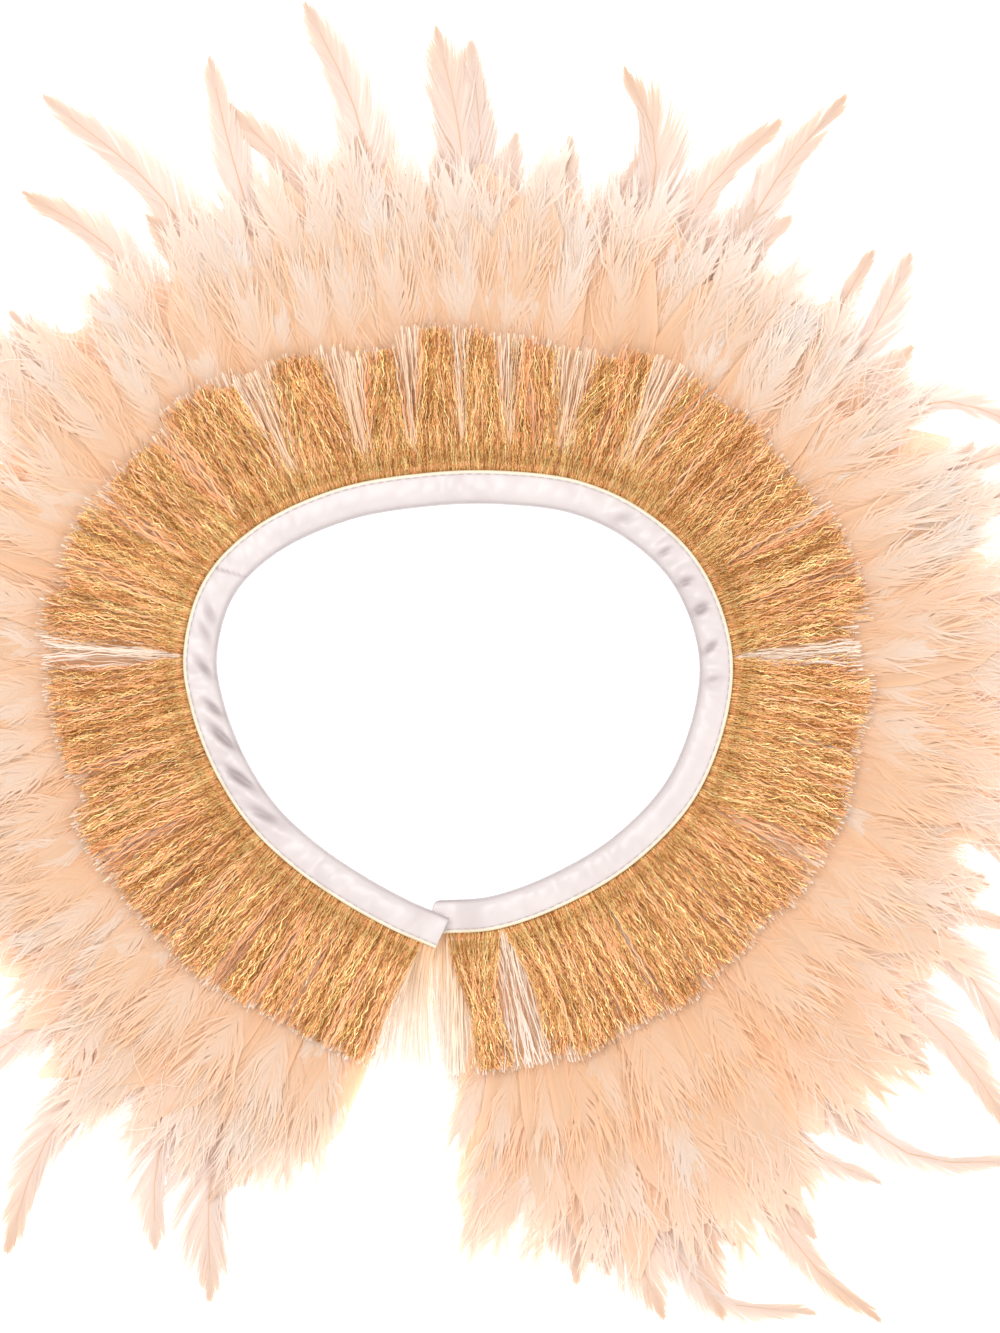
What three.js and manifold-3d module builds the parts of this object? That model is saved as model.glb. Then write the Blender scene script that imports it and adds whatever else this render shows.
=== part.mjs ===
// Feather collar necklace, closed and laid flat. Millimetres, Z up, +Y away from the closure.
import * as THREE from "three";
import Module from "manifold-3d";

const wasm = await Module();
wasm.setup();

// Satin binding: a strip folded in a U, its mouth outwards.
const BAND_WIDTH = 9.6;
const BAND_HEIGHT = 6.5;
const WALL = 1.0;
const LIFT_RUN = 48;

// Flattened ends of the binding: how high they are, how long, and how soon the full height follows.
const END_HEIGHT = 2.8;
const UNDER_END = 7;
const TOP_END = 3;
const END_EASE = 2.5;
const BAND_STEPS = 70;

// Fastener between the overlapped ends.
const SNAP_RADIUS = 1.9;
const SNAP_HEIGHT = 1.2;
const SEAT_GAP = 0.3;
const END_LIFT = END_HEIGHT + SNAP_HEIGHT + 2 * SEAT_GAP;

// Heading tapes of the four rows, inside the binding's mouth.
const TAPE_INNER = -3.0;
const TAPE_OUTER = 6.3;
const TAPE_STEPS = 46;
const LOCK_ROOT = 5.7;

// Middle line of the binding, from the end that lies beneath round to the end that lies on top.
const NECKLINE = [
  { x: -8.5, y: -61.8 },
  { x: 10.6, y: -60.3 },
  { x: 30.6, y: -53.0 },
  { x: 49.3, y: -41.4 },
  { x: 65.4, y: -23.8 },
  { x: 74.2, y: 0.0 },
  { x: 74.6, y: 18.0 },
  { x: 66.4, y: 38.4 },
  { x: 52.3, y: 52.0 },
  { x: 35.0, y: 60.2 },
  { x: 14.0, y: 63.1 },
  { x: -8.0, y: 62.6 },
  { x: -33.6, y: 58.1 },
  { x: -56.4, y: 47.3 },
  { x: -69.4, y: 33.6 },
  { x: -74.6, y: 14.5 },
  { x: -72.6, y: 0.0 },
  { x: -65.8, y: -17.6 },
  { x: -56.1, y: -32.4 },
  { x: -43.9, y: -43.9 },
  { x: -30.6, y: -53.0 },
  { x: -16.3, y: -60.8 },
  { x: -4.2, y: -66.2 },
];

// Puckers of the satin: where along the binding, how far they spread, how high they stand.
const PUCKERS = [
  { along: 0.10, spread: 26, height: 0.35 },
  { along: 0.27, spread: 18, height: 0.30 },
  { along: 0.37, spread: 30, height: 0.60 },
  { along: 0.52, spread: 24, height: 0.25 },
  { along: 0.66, spread: 16, height: 0.35 },
  { along: 0.80, spread: 34, height: 0.60 },
  { along: 0.92, spread: 18, height: 0.40 },
];
const PUCKER_PITCH = 13;

// Height range of each row at a distance out from the binding's middle line.
const LIE = [
  { out: -4, blades: [1.3, 1.9], fluff: [2.2, 2.8], pink: [3.1, 3.6], gold: [3.9, 4.5] },
  { out: 6.3, blades: [1.3, 1.9], fluff: [2.2, 2.8], pink: [3.1, 3.6], gold: [3.9, 4.5] },
  { out: 12, blades: [0.7, 2.3], fluff: [2.9, 5.2], pink: [5.8, 6.5], gold: [7.1, 8.3] },
  { out: 25, blades: [0.0, 2.8], fluff: [3.4, 8.6], pink: [9.3, 10.2], gold: [10.9, 12.6] },
  { out: 45, blades: [0.0, 3.4], fluff: [4.1, 13.0], pink: [13.8, 14.7], gold: [15.4, 17.0] },
  { out: 62, blades: [0.0, 3.8], fluff: [4.5, 20.0], pink: [20.8, 21.7], gold: [22.4, 24.0] },
  { out: 85, blades: [0.0, 4.2], fluff: [4.9, 17.5], pink: [20.8, 21.7], gold: [22.4, 24.0] },
  { out: 112, blades: [0.0, 4.6], fluff: [5.4, 11.0], pink: [20.8, 21.7], gold: [22.4, 24.0] },
  { out: 160, blades: [1.5, 5.5], fluff: [6.5, 9.0], pink: [20.8, 21.7], gold: [22.4, 24.0] },
];

// Height range of threads that hang in the closure's gap, with no feathers under them.
const GAP_LIE = [
  { out: -4, threads: [3.1, 3.6] },
  { out: 6.3, threads: [3.1, 3.6] },
  { out: 20, threads: [1.0, 2.2] },
  { out: 55, threads: [0.6, 1.6] },
];

// Rows of locks: where each starts and stops from the ends of the binding, and how its locks are cut.
const GOLD = { start: 10, stop: 6.5, count: 33, reach: 43.5, vary: 3.0, width: 13.4, tip: 0.5, lean: 2.5 };
const PINK = { start: 10, stop: 6.5, count: 15, reach: 45.0, vary: 2.5, width: 19.0, tip: 0.4, lean: 2.0 };
const FLUFF = { start: 17, stop: 15, count: 35, vary: 9.0, width: 15.0, tip: 0.36, lean: 4.0 };

// Pink locks that fall into the closure's gap, their places measured from the end that they hang from.
const GAP_LOCKS = [
  { end: "under", s: 14, reach: 52, width: 7, lean: -5 },
  { end: "under", s: 12.5, reach: 44, width: 6, lean: -13 },
  { end: "top", s: 11, reach: 42, width: 7, lean: 7 },
  { end: "top", s: 9.5, reach: 39, width: 6, lean: 16 },
];

// How the feathers beside the closure's gap lean into it.
const GAP_LEAN = [
  { end: "under", run: 30, lean: -11 },
  { end: "top", run: 30, lean: 8 },
];

// Partings of the gold fringe, at which a lock is left out.
const PARTINGS = [{ along: 0.06 }, { along: 0.285 }, { along: 0.705 }];

// Reach of the fluffy row along the binding.
const FLUFF_REACH = [
  { along: 0.0, reach: 86 },
  { along: 0.05, reach: 100 },
  { along: 0.085, reach: 124 },
  { along: 0.12, reach: 112 },
  { along: 0.17, reach: 98 },
  { along: 0.22, reach: 92 },
  { along: 0.28, reach: 97 },
  { along: 0.36, reach: 86 },
  { along: 0.46, reach: 92 },
  { along: 0.56, reach: 102 },
  { along: 0.64, reach: 90 },
  { along: 0.69, reach: 96 },
  { along: 0.8, reach: 90 },
  { along: 0.9, reach: 102 },
  { along: 0.95, reach: 92 },
  { along: 1.0, reach: 66 },
];

// Long feathers: a point on the way out, the tip, and the widest part of the blade.
const BLADES = [
  { way_x: -99, way_y: 131, tip_x: -126, tip_y: 149, width: 14 },
  { way_x: -83, way_y: 144, tip_x: -120, tip_y: 177, width: 15 },
  { way_x: -65, way_y: 158, tip_x: -72, tip_y: 188, width: 14 },
  { way_x: -43, way_y: 147, tip_x: -66, tip_y: 174, width: 16 },
  { way_x: -28, way_y: 168, tip_x: -44, tip_y: 204, width: 17 },
  { way_x: 1, way_y: 164, tip_x: -6, tip_y: 197, width: 22 },
  { way_x: 7, way_y: 160, tip_x: 4, tip_y: 193, width: 12 },
  { way_x: 31, way_y: 143, tip_x: 33, tip_y: 165, width: 13 },
  { way_x: 58, way_y: 161, tip_x: 49, tip_y: 185, width: 19 },
  { way_x: 70, way_y: 146, tip_x: 94, tip_y: 170, width: 13 },
  { way_x: 91, way_y: 150, tip_x: 113, tip_y: 177, width: 14 },
  { way_x: 82, way_y: 126, tip_x: 97, tip_y: 142, width: 11 },
  { way_x: 107, way_y: 109, tip_x: 121, tip_y: 132, width: 10 },
  { way_x: 118, way_y: 104, tip_x: 132, tip_y: 131, width: 15 },
  { way_x: 137, way_y: 88, tip_x: 168, tip_y: 80, width: 11 },
  { way_x: 141, way_y: 67, tip_x: 170, tip_y: 77, width: 10 },
  { way_x: 143, way_y: 56, tip_x: 171, tip_y: 63, width: 14 },
  { way_x: 146, way_y: 25, tip_x: 172, tip_y: 34, width: 15 },
  { way_x: 146, way_y: 1, tip_x: 172, tip_y: -2, width: 16 },
  { way_x: 145, way_y: -25, tip_x: 170, tip_y: -30, width: 15 },
  { way_x: 128, way_y: -51, tip_x: 153, tip_y: -50, width: 11 },
  { way_x: 138, way_y: -57, tip_x: 168, tip_y: -66, width: 9 },
  { way_x: 144, way_y: -73, tip_x: 163, tip_y: -102, width: 15 },
  { way_x: 141, way_y: -95, tip_x: 162, tip_y: -124, width: 14 },
  { way_x: 128, way_y: -129, tip_x: 167, tip_y: -133, width: 10 },
  { way_x: 99, way_y: -127, tip_x: 123, tip_y: -139, width: 12 },
  { way_x: 101, way_y: -160, tip_x: 123, tip_y: -179, width: 12 },
  { way_x: 72, way_y: -170, tip_x: 104, tip_y: -177, width: 12 },
  { way_x: 67, way_y: -144, tip_x: 81, tip_y: -157, width: 12 },
  { way_x: 51, way_y: -156, tip_x: 60, tip_y: -178, width: 24 },
  { way_x: 33, way_y: -146, tip_x: 35, tip_y: -168, width: 24 },
  { way_x: -70, way_y: -130, tip_x: -72, tip_y: -173, width: 20 },
  { way_x: -86, way_y: -128, tip_x: -88, tip_y: -158, width: 16 },
  { way_x: -119, way_y: -126, tip_x: -131, tip_y: -159, width: 15 },
  { way_x: -115, way_y: -88, tip_x: -150, tip_y: -110, width: 15 },
  { way_x: -130, way_y: -48, tip_x: -156, tip_y: -62, width: 15 },
  { way_x: -132, way_y: -19, tip_x: -158, tip_y: -26, width: 15 },
  { way_x: -132, way_y: 16, tip_x: -159, tip_y: 20, width: 16 },
  { way_x: -129, way_y: 51, tip_x: -155, tip_y: 66, width: 15 },
  { way_x: -121, way_y: 90, tip_x: -148, tip_y: 112, width: 16 },
];

const FINISH = {
  satin: { color: 0xf1e6e6, roughness: 0.38, metalness: 0 },
  gold: { color: 0xd49a4e, roughness: 0.35, metalness: 0.7 },
  pink: { color: 0xf8e4da, roughness: 0.8, metalness: 0 },
  feather: { color: 0xf8cba6, roughness: 0.9, metalness: 0 },
  steel: { color: 0xb9b9bd, roughness: 0.3, metalness: 1 },
};

const neckline = new THREE.CatmullRomCurve3(
  NECKLINE.map(({ x, y }) => new THREE.Vector3(x, y, 0)),
  false,
  "centripetal",
);
neckline.arcLengthDivisions = 800;
const LENGTH = neckline.getLength();

const clamp = (value, low, high) => Math.min(high, Math.max(low, value));

const smooth = (value) => {
  const t = clamp(value, 0, 1);
  return t * t * (3 - 2 * t);
};

// A repeatable spread of values from 0 to 1 for lock number i.
const spread = (i, salt) => {
  const value = Math.sin(i * 12.9898 + salt * 78.233) * 43758.5453;
  return value - Math.floor(value);
};

// Value of a column in a table, between its rows.
function between(rows, key, at, read) {
  const last = rows.length - 1;
  if (at <= rows[0][key]) return read(rows[0]);
  for (let i = 0; i < last; i += 1) {
    if (at <= rows[i + 1][key]) {
      const t = (at - rows[i][key]) / (rows[i + 1][key] - rows[i][key]);
      return read(rows[i]) * (1 - t) + read(rows[i + 1]) * t;
    }
  }
  return read(rows[last]);
}

// Rise of the end that lies on top, fading out along the trims.
function lift(s, out) {
  const along = smooth((s - (LENGTH - LIFT_RUN)) / (LIFT_RUN - 7));
  return END_LIFT * along * (1 - smooth((out - 8) / 30));
}

// A point at length s along the binding, at a distance out from its middle line.
function place(s, out, z) {
  const u = clamp(s / LENGTH, 0, 1);
  const along = neckline.getTangentAt(u);
  const point = neckline.getPointAt(u).addScaledVector(along, s - u * LENGTH);
  return new THREE.Vector3(point.x + along.y * out, point.y - along.x * out, z + lift(s, out));
}

// Length along the feathered stretch of the binding nearest to (x, y), and the distance out.
function nearest(x, y) {
  const first = FLUFF.start + 3;
  const run = LENGTH - FLUFF.stop - 3 - first;
  let best = { s: 0, out: Infinity };
  for (let i = 0; i <= 400; i += 1) {
    const s = first + (run * i) / 400;
    const point = neckline.getPointAt(s / LENGTH);
    const out = Math.hypot(x - point.x, y - point.y);
    if (out < best.out) best = { s, out };
  }
  return best;
}

// Closed solid through rings of equal count, its ends filled by the given triangles of a ring.
function loft(rings, capFaces) {
  const count = rings[0].length;
  const positions = rings.flat().flatMap((p) => [p.x, p.y, p.z]);
  const faces = [];
  for (let r = 0; r + 1 < rings.length; r += 1) {
    for (let i = 0; i < count; i += 1) {
      const a = r * count + i;
      const b = r * count + ((i + 1) % count);
      faces.push([a, b, a + count], [b, b + count, a + count]);
    }
  }
  const end = (rings.length - 1) * count;
  for (const [a, b, c] of capFaces) {
    faces.push([a, c, b], [end + a, end + b, end + c]);
  }
  return facingOut(positions, faces);
}

// Turns the faces round if the solid is inside out.
function facingOut(positions, faces) {
  const corner = (i) => new THREE.Vector3().fromArray(positions, i * 3);
  let volume = 0;
  for (const [a, b, c] of faces) {
    volume += corner(a).dot(corner(b).cross(corner(c)));
  }
  const turned = volume < 0 ? faces.map(([a, b, c]) => [a, c, b]) : faces;
  return { positions, index: turned.flat() };
}

const fanFaces = (count) => {
  const faces = [];
  for (let i = 1; i + 1 < count; i += 1) faces.push([0, i, i + 1]);
  return faces;
};

function toManifold({ positions, index }) {
  return new wasm.Manifold(new wasm.Mesh({
    numProp: 3,
    vertProperties: new Float32Array(positions),
    triVerts: new Uint32Array(index),
  }));
}

function toGeometry({ positions, index }) {
  const geometry = new THREE.BufferGeometry();
  geometry.setAttribute("position", new THREE.Float32BufferAttribute(positions, 3));
  geometry.setIndex(Array.from(index));
  geometry.computeVertexNormals();
  return geometry;
}

// Joins a heading tape and its locks into one solid, filling the pockets shut in between crossed locks.
function fuse(solids) {
  const shells = wasm.Manifold.union(solids.map(toManifold)).decompose();
  const body = wasm.Manifold.union(shells.filter((shell) => shell.volume() > 0));
  const mesh = body.getMesh();
  return toGeometry({ positions: mesh.vertProperties, index: mesh.triVerts });
}

// Height of the binding at s: lower at its two ends, where it holds no tapes.
function bandHeight(s) {
  const inside = Math.min(s - UNDER_END, LENGTH - TOP_END - s);
  return END_HEIGHT + (BAND_HEIGHT - END_HEIGHT) * smooth(inside / END_EASE);
}

// Rise of the satin's top at s, above the plain fold.
function pucker(s) {
  let rise = 0;
  for (const { along, spread: reach, height } of PUCKERS) {
    const from = s - along * LENGTH;
    const wave = 0.5 + 0.5 * Math.cos((2 * Math.PI * from) / PUCKER_PITCH);
    rise += height * wave * Math.exp(-((from / reach) ** 2));
  }
  return rise;
}

// Section of the folded strip, as distance out and height: inside of the U, then its outside.
function bandSection(height, rise) {
  const half = BAND_WIDTH / 2;
  const crown = 0.1 * height;
  return [
    [half, WALL],
    [-half + WALL + 0.2, WALL],
    [-half + WALL + 0.2, height - crown - WALL],
    [half, height - crown - WALL],
    [half, height - crown],
    [0.7 * half, height - 0.3 * crown + rise],
    [-0.1 * half, height + rise],
    [-half + 0.2 * height, height - crown],
    [-half, 0.66 * height],
    [-half, 0.28 * height],
    [-half + 0.12 * height, 0],
    [half, 0],
  ];
}

function satinBinding() {
  const first = UNDER_END + END_EASE;
  const last = LENGTH - TOP_END - END_EASE;
  const stations = [0, UNDER_END];
  for (let i = 0; i <= BAND_STEPS; i += 1) {
    stations.push(first + ((last - first) * i) / BAND_STEPS);
  }
  stations.push(LENGTH - TOP_END, LENGTH);
  const rings = stations.map((s) => {
    const section = bandSection(bandHeight(s), pucker(s));
    return section.map(([out, z]) => place(s, out, z));
  });
  const outline = bandSection(END_HEIGHT, 0).map(([out, z]) => new THREE.Vector2(out, z));
  return toGeometry(loft(rings, THREE.ShapeUtils.triangulateShape(outline, [])));
}

function tape(row, start, stop) {
  const [low, top] = LIE[0][row];
  const rings = [];
  for (let i = 0; i <= TAPE_STEPS; i += 1) {
    const s = start + ((stop - start) * i) / TAPE_STEPS;
    rings.push([
      place(s, TAPE_INNER, low),
      place(s, TAPE_OUTER, low),
      place(s, TAPE_OUTER, top),
      place(s, TAPE_INNER, top),
    ]);
  }
  return loft(rings, fanFaces(4));
}

const lieAt = (row, out) => [0, 1].map((side) => between(LIE, "out", out, (line) => line[row][side]));

const gapLieAt = (out) => [0, 1].map((side) => between(GAP_LIE, "out", out, (line) => line.threads[side]));

// One lock of threads or fluff: diamond sections at the given distances out, narrowing to its tip.
function lock({ s, reach, width, tip, lean, stops, heights }) {
  const rings = stops.map((stop, i) => {
    const out = i === 0 ? LOCK_ROOT : TAPE_OUTER + (reach - TAPE_OUTER) * stop;
    const last = i === stops.length - 1;
    const swell = i === 0 ? 0.85 : last ? tip : 1 - 0.3 * stop * stop;
    const half = (width * swell) / 2;
    const middle = s + lean * stop * stop;
    const [low, top] = heights(out);
    const centre = (low + top) / 2;
    const deep = i === 0 ? 0.6 : last ? Math.max(tip, 0.3) : 1;
    return [
      place(middle - half, out, centre),
      place(middle, out, centre - ((top - low) / 2) * deep),
      place(middle + half, out, centre),
      place(middle, out, centre + ((top - low) / 2) * deep),
    ];
  });
  return loft(rings, fanFaces(4));
}

const THREAD_STOPS = [0, 0.16, 0.5, 1];
const FLUFF_STOPS = [0, 0.08, 0.42, 0.72, 1];

function fringe(rowName, row, extras) {
  const first = row.start;
  const last = LENGTH - row.stop;
  const solids = [tape(rowName, first, last), ...extras];
  for (let i = 0; i < row.count; i += 1) {
    const s = first + ((last - first) * (i + 0.5)) / row.count;
    const parted = rowName === "gold" && PARTINGS.some(({ along }) => Math.abs(s - along * LENGTH) < 5);
    if (parted) continue;
    solids.push(lock({
      s,
      reach: row.reach + row.vary * (spread(i, 1) - 0.5) * 2,
      width: row.width * (0.85 + 0.3 * spread(i, 2)),
      tip: row.tip,
      lean: row.lean * (spread(i, 3) - 0.5) * 2,
      stops: THREAD_STOPS,
      heights: (out) => lieAt(rowName, out),
    }));
  }
  return fuse(solids);
}

function goldFringe() {
  return fringe("gold", GOLD, []);
}

function pinkFringe() {
  const fallen = GAP_LOCKS.map(({ end, s, reach, width, lean }) => lock({
    s: end === "under" ? s : LENGTH - s,
    reach,
    width,
    lean,
    tip: PINK.tip,
    stops: THREAD_STOPS,
    heights: gapLieAt,
  }));
  return fringe("pink", PINK, fallen);
}

function featherFluff() {
  const first = FLUFF.start;
  const last = LENGTH - FLUFF.stop;
  const solids = [tape("fluff", first, last)];
  for (let i = 0; i < FLUFF.count; i += 1) {
    const s = first + ((last - first) * (i + 0.5)) / FLUFF.count;
    const along = s / LENGTH;
    const ease = smooth(Math.min(s - first, last - s) / 20);
    let lean = FLUFF.lean * (spread(i, 6) - 0.5) * 2 * ease;
    for (const side of GAP_LEAN) {
      const from = side.end === "under" ? s - first : last - s;
      lean += side.lean * (1 - smooth(from / side.run));
    }
    const reach = between(FLUFF_REACH, "along", along, (line) => line.reach);
    solids.push(lock({
      s,
      reach: reach + FLUFF.vary * (spread(i, 4) - 0.65),
      width: FLUFF.width * (0.85 + 0.3 * spread(i, 5)),
      tip: FLUFF.tip,
      lean,
      stops: FLUFF_STOPS,
      heights: (out) => lieAt("fluff", out),
    }));
  }
  return fuse(solids);
}

// Share of a blade's full width at a share of its length from the quill.
const BLADE_FORM = [
  { along: 0.0, width: 0.2 },
  { along: 0.12, width: 0.25 },
  { along: 0.35, width: 0.7 },
  { along: 0.6, width: 1.0 },
  { along: 0.82, width: 0.75 },
  { along: 1.0, width: 0.06 },
];

// A long feather: flat below with a low ridge above, from the tape to its tip.
function blade({ way_x, way_y, tip_x, tip_y, width }) {
  const root = nearest(way_x, way_y);
  const quill = place(root.s, LOCK_ROOT, 0);
  const mouth = place(root.s, TAPE_OUTER + 1, 0);
  const line = new THREE.CatmullRomCurve3(
    [quill, mouth, new THREE.Vector3(way_x, way_y, 0), new THREE.Vector3(tip_x, tip_y, 0)],
    false,
    "centripetal",
  );
  const rings = BLADE_FORM.map(({ along, width: share }) => {
    const point = line.getPointAt(along);
    const ahead = line.getTangentAt(along);
    const out = along === 0 ? LOCK_ROOT : nearest(point.x, point.y).out;
    const [low, top] = lieAt("blades", out).map((z) => z + lift(root.s, out));
    const half = (width * share) / 2;
    const slim = along === 0 ? 0.15 : 0;
    const ridge = low + (top - low) * (along === 1 ? 0.25 : 1);
    return [
      new THREE.Vector3(point.x - ahead.y * half, point.y + ahead.x * half, low + slim),
      new THREE.Vector3(point.x + ahead.y * half, point.y - ahead.x * half, low + slim),
      new THREE.Vector3(point.x, point.y, ridge - slim),
    ];
  });
  return loft(rings, fanFaces(3));
}

function featherBlades() {
  return fuse([tape("blades", FLUFF.start, LENGTH - FLUFF.stop), ...BLADES.map(blade)]);
}

function snapFastener() {
  const profile = [
    new THREE.Vector2(0, 0),
    new THREE.Vector2(SNAP_RADIUS, 0),
    new THREE.Vector2(SNAP_RADIUS, SNAP_HEIGHT * 0.6),
    new THREE.Vector2(SNAP_RADIUS * 0.6, SNAP_HEIGHT),
    new THREE.Vector2(0, SNAP_HEIGHT),
  ];
  const solid = new THREE.LatheGeometry(profile, 20);
  solid.rotateX(Math.PI / 2);
  const seat = new THREE.Vector3((NECKLINE[0].x + NECKLINE.at(-1).x) / 2, -64.0, END_HEIGHT + SEAT_GAP);
  solid.translate(seat.x, seat.y, seat.z);
  return solid;
}

function named(name, geometry, finish) {
  const mesh = new THREE.Mesh(geometry, new THREE.MeshStandardMaterial(finish));
  mesh.name = name;
  return mesh;
}

const collar = new THREE.Group();
collar.add(
  named("satin_binding", satinBinding(), FINISH.satin),
  named("gold_fringe", goldFringe(), FINISH.gold),
  named("pink_fringe", pinkFringe(), FINISH.pink),
  named("feather_fluff", featherFluff(), FINISH.feather),
  named("feather_blades", featherBlades(), FINISH.feather),
  named("snap_fastener", snapFastener(), FINISH.steel),
);

// The part's origin is under the middle of its box, on the table.
const box = new THREE.Box3().setFromObject(collar);
const middle = box.getCenter(new THREE.Vector3());
for (const piece of collar.children) {
  piece.geometry.translate(-middle.x, -middle.y, -box.min.z);
}

export default collar;
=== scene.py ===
import math

import bpy
import numpy as np
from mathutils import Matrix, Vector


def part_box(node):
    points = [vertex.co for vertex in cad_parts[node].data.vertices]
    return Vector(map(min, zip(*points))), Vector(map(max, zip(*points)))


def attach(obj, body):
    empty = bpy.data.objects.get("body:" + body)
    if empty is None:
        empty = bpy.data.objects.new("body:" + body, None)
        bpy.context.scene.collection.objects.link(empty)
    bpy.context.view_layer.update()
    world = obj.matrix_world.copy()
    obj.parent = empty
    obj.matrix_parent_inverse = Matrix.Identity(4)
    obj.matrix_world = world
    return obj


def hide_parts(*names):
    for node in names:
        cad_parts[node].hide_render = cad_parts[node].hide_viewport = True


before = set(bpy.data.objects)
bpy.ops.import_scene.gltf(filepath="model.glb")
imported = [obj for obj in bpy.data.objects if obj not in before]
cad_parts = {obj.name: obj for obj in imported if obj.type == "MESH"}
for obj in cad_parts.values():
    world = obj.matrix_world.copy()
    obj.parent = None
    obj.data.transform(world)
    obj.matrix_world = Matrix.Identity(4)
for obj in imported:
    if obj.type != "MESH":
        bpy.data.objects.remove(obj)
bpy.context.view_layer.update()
MM = 0.001
rng = np.random.default_rng(11)

# Sizes below are in millimetres from the middle of the neck, as in the part's source.
NECKLINE = [
    (-8.5, -61.8), (10.6, -60.3), (30.6, -53.0), (49.3, -41.4), (65.4, -23.8), (74.2, 0.0),
    (74.6, 18.0), (66.4, 38.4), (52.3, 52.0), (35.0, 60.2), (14.0, 63.1), (-8.0, 62.6),
    (-33.6, 58.1), (-56.4, 47.3), (-69.4, 33.6), (-74.6, 14.5), (-72.6, 0.0), (-65.8, -17.6),
    (-56.1, -32.4), (-43.9, -43.9), (-30.6, -53.0), (-16.3, -60.8), (-4.2, -66.2),
]
BAND_WIDTH, BAND_HEIGHT, WALL = 9.6, 6.5, 1.0
BAND_START, CORNER_ROUND = 1.4, 2.6
# Both ends of the binding are pressed flat, and the left one lies on the right one.
END_HEIGHT, END_EASE = 2.8, 11.0
UNDER_END, TOP_END = 7.0, 3.0
END_LIFT, LIFT_RUN, LIFT_LEVEL = 4.6, 48.0, 7
LIFT_OUT, LIFT_FADE = 8, 30

# Gathers of the satin: place along the binding, spread and height.
GATHERS = [
    (0.10, 26, 0.35), (0.27, 18, 0.30), (0.37, 30, 0.60), (0.52, 24, 0.25),
    (0.66, 16, 0.35), (0.80, 34, 0.60), (0.92, 18, 0.40),
]
GATHER_PITCH = 13.0
# The slanted join of the strip: its groove, the lip beside it and the shade painted along it.
JOIN_ALONG, JOIN_SLANT = 0.681, 0.4
JOIN_DEPTH, JOIN_WIDTH = 0.4, 0.35
LIP_HEIGHT, LIP_FROM, LIP_WIDTH = 0.2, 1.2, 0.8
JOIN_SHADE, JOIN_SHADE_WIDTH = 0.7, 0.4

# Dents of the satin: place along the binding, distance out, slant, width along it and depth.
DENTS = [
    (0.272, -0.8, 0.3, 1.3, 0.55), (0.294, -1.6, 0.5, 1.2, 0.85), (0.321, -1.2, 0.1, 1.4, 1.1),
    (0.342, -1.8, -0.1, 1.2, 0.85), (0.367, -0.9, -0.2, 1.0, 0.65), (0.403, -0.3, -0.6, 2.2, 0.45),
    (0.712, -0.6, -0.8, 1.8, 0.55), (0.726, -0.7, -1.0, 1.8, 0.45), (0.750, -1.4, -1.0, 1.7, 0.80),
    (0.778, -1.9, -1.2, 1.9, 0.85), (0.799, -1.6, -1.6, 2.6, 1.15), (0.828, -0.8, -1.7, 2.9, 1.15),
    (0.858, -0.6, -1.6, 3.2, 0.75),
]
# DENT_SHADE sets how much shade is painted into the satin's colour at the dents.
DENT_REACH, DENT_SHADE = 2.6, 1.4
DENT_LIP, DENT_LIP_FROM = 0.3, 2.2

# Fine creases: pitch along the binding, tilt across it, phase and depth.
CREASES = [(6.1, 0.5, 0.4, 0.5), (9.7, -0.4, 2.1, 0.7)]
LEAST_DRAWN = 0.12
# The way round the section in the cloth's map, in metres.
CLOTH_ROUND = 0.03

# Stitches: the seam's place on the section, how far the gathers move it, and each stitch's sizes.
SEAM_OUT, SEAM_UP, SEAM_GATHER, SEAM_END = 0.79, 0.932, 0.7, 1.0
STITCH_PITCH, STITCH_LENGTH, STITCH_THICKNESS = 2.6, 1.7, 0.26

# Height range of each row at a distance out from the binding's middle line.
LIE_OUT = [-4, 6.3, 12, 25, 45, 62, 85, 112, 160]
LIE = dict(
    blades=([1.3, 1.3, 0.7, 0, 0, 0, 0, 0, 1.5], [1.9, 1.9, 2.3, 2.8, 3.4, 3.8, 4.2, 4.6, 5.5]),
    fluff=([2.2, 2.2, 2.9, 3.4, 4.1, 4.5, 4.9, 5.4, 6.5], [2.8, 2.8, 5.2, 8.6, 13, 20, 17.5, 11, 9]),
    pink=([3.1, 3.1, 5.8, 9, 13, 20, 20, 20, 20], [3.6, 3.6, 6.5, 9.9, 13.9, 20.9, 20.9, 20.9, 20.9]),
    gold=([3.9, 3.9, 7.1, 10.5, 14.3, 21.3, 21.3, 21.3, 21.3], [4.5, 4.5, 8.3, 12.2, 16, 23, 23, 23, 23]),
)
GAP_OUT = [-4, 6.3, 20, 55]
GAP_LIE = ([2.0, 2.0, 0.8, 0.5], [2.4, 2.4, 2.0, 1.8])

# Feather rows: where they start and stop along the binding, how far they reach and where they pale.
FLUFF_START, FLUFF_STOP = 17.0, 15.0
PLUME_ROOT, BARBS_FROM, DOWN_FROM = 8.0, 28, 34
TUFTS, TUFT_DRAW, PLUME_LEAN = 44, 0.88, 3.2
SWEEP_FIRST, SWEEP_LAST, SWEEP_RUN = -11, 8, 30
ROOT_MARGIN, BLADE_MARGIN = 3, 4
WISPS_PER, DOWN_COUNT, BED_COUNT, EXTRA_BLADES = 28, 6000, 140, 46
FLUFF_ALONG = [0.0, 0.05, 0.085, 0.12, 0.17, 0.22, 0.28, 0.36, 0.46, 0.56, 0.64, 0.69, 0.8, 0.9, 0.95, 1.0]
FLUFF_REACH = [86, 100, 124, 112, 98, 92, 97, 86, 92, 102, 90, 96, 90, 102, 92, 66]
PALER_ALONG = [0.0, 0.08, 0.14, 0.22, 0.34, 0.42, 0.6, 0.68, 0.8, 1.0]
PALER = [0.1, 0.0, -0.12, 0.0, 0.19, 0.24, 0.16, 0.06, 0.04, 0.08]

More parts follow.
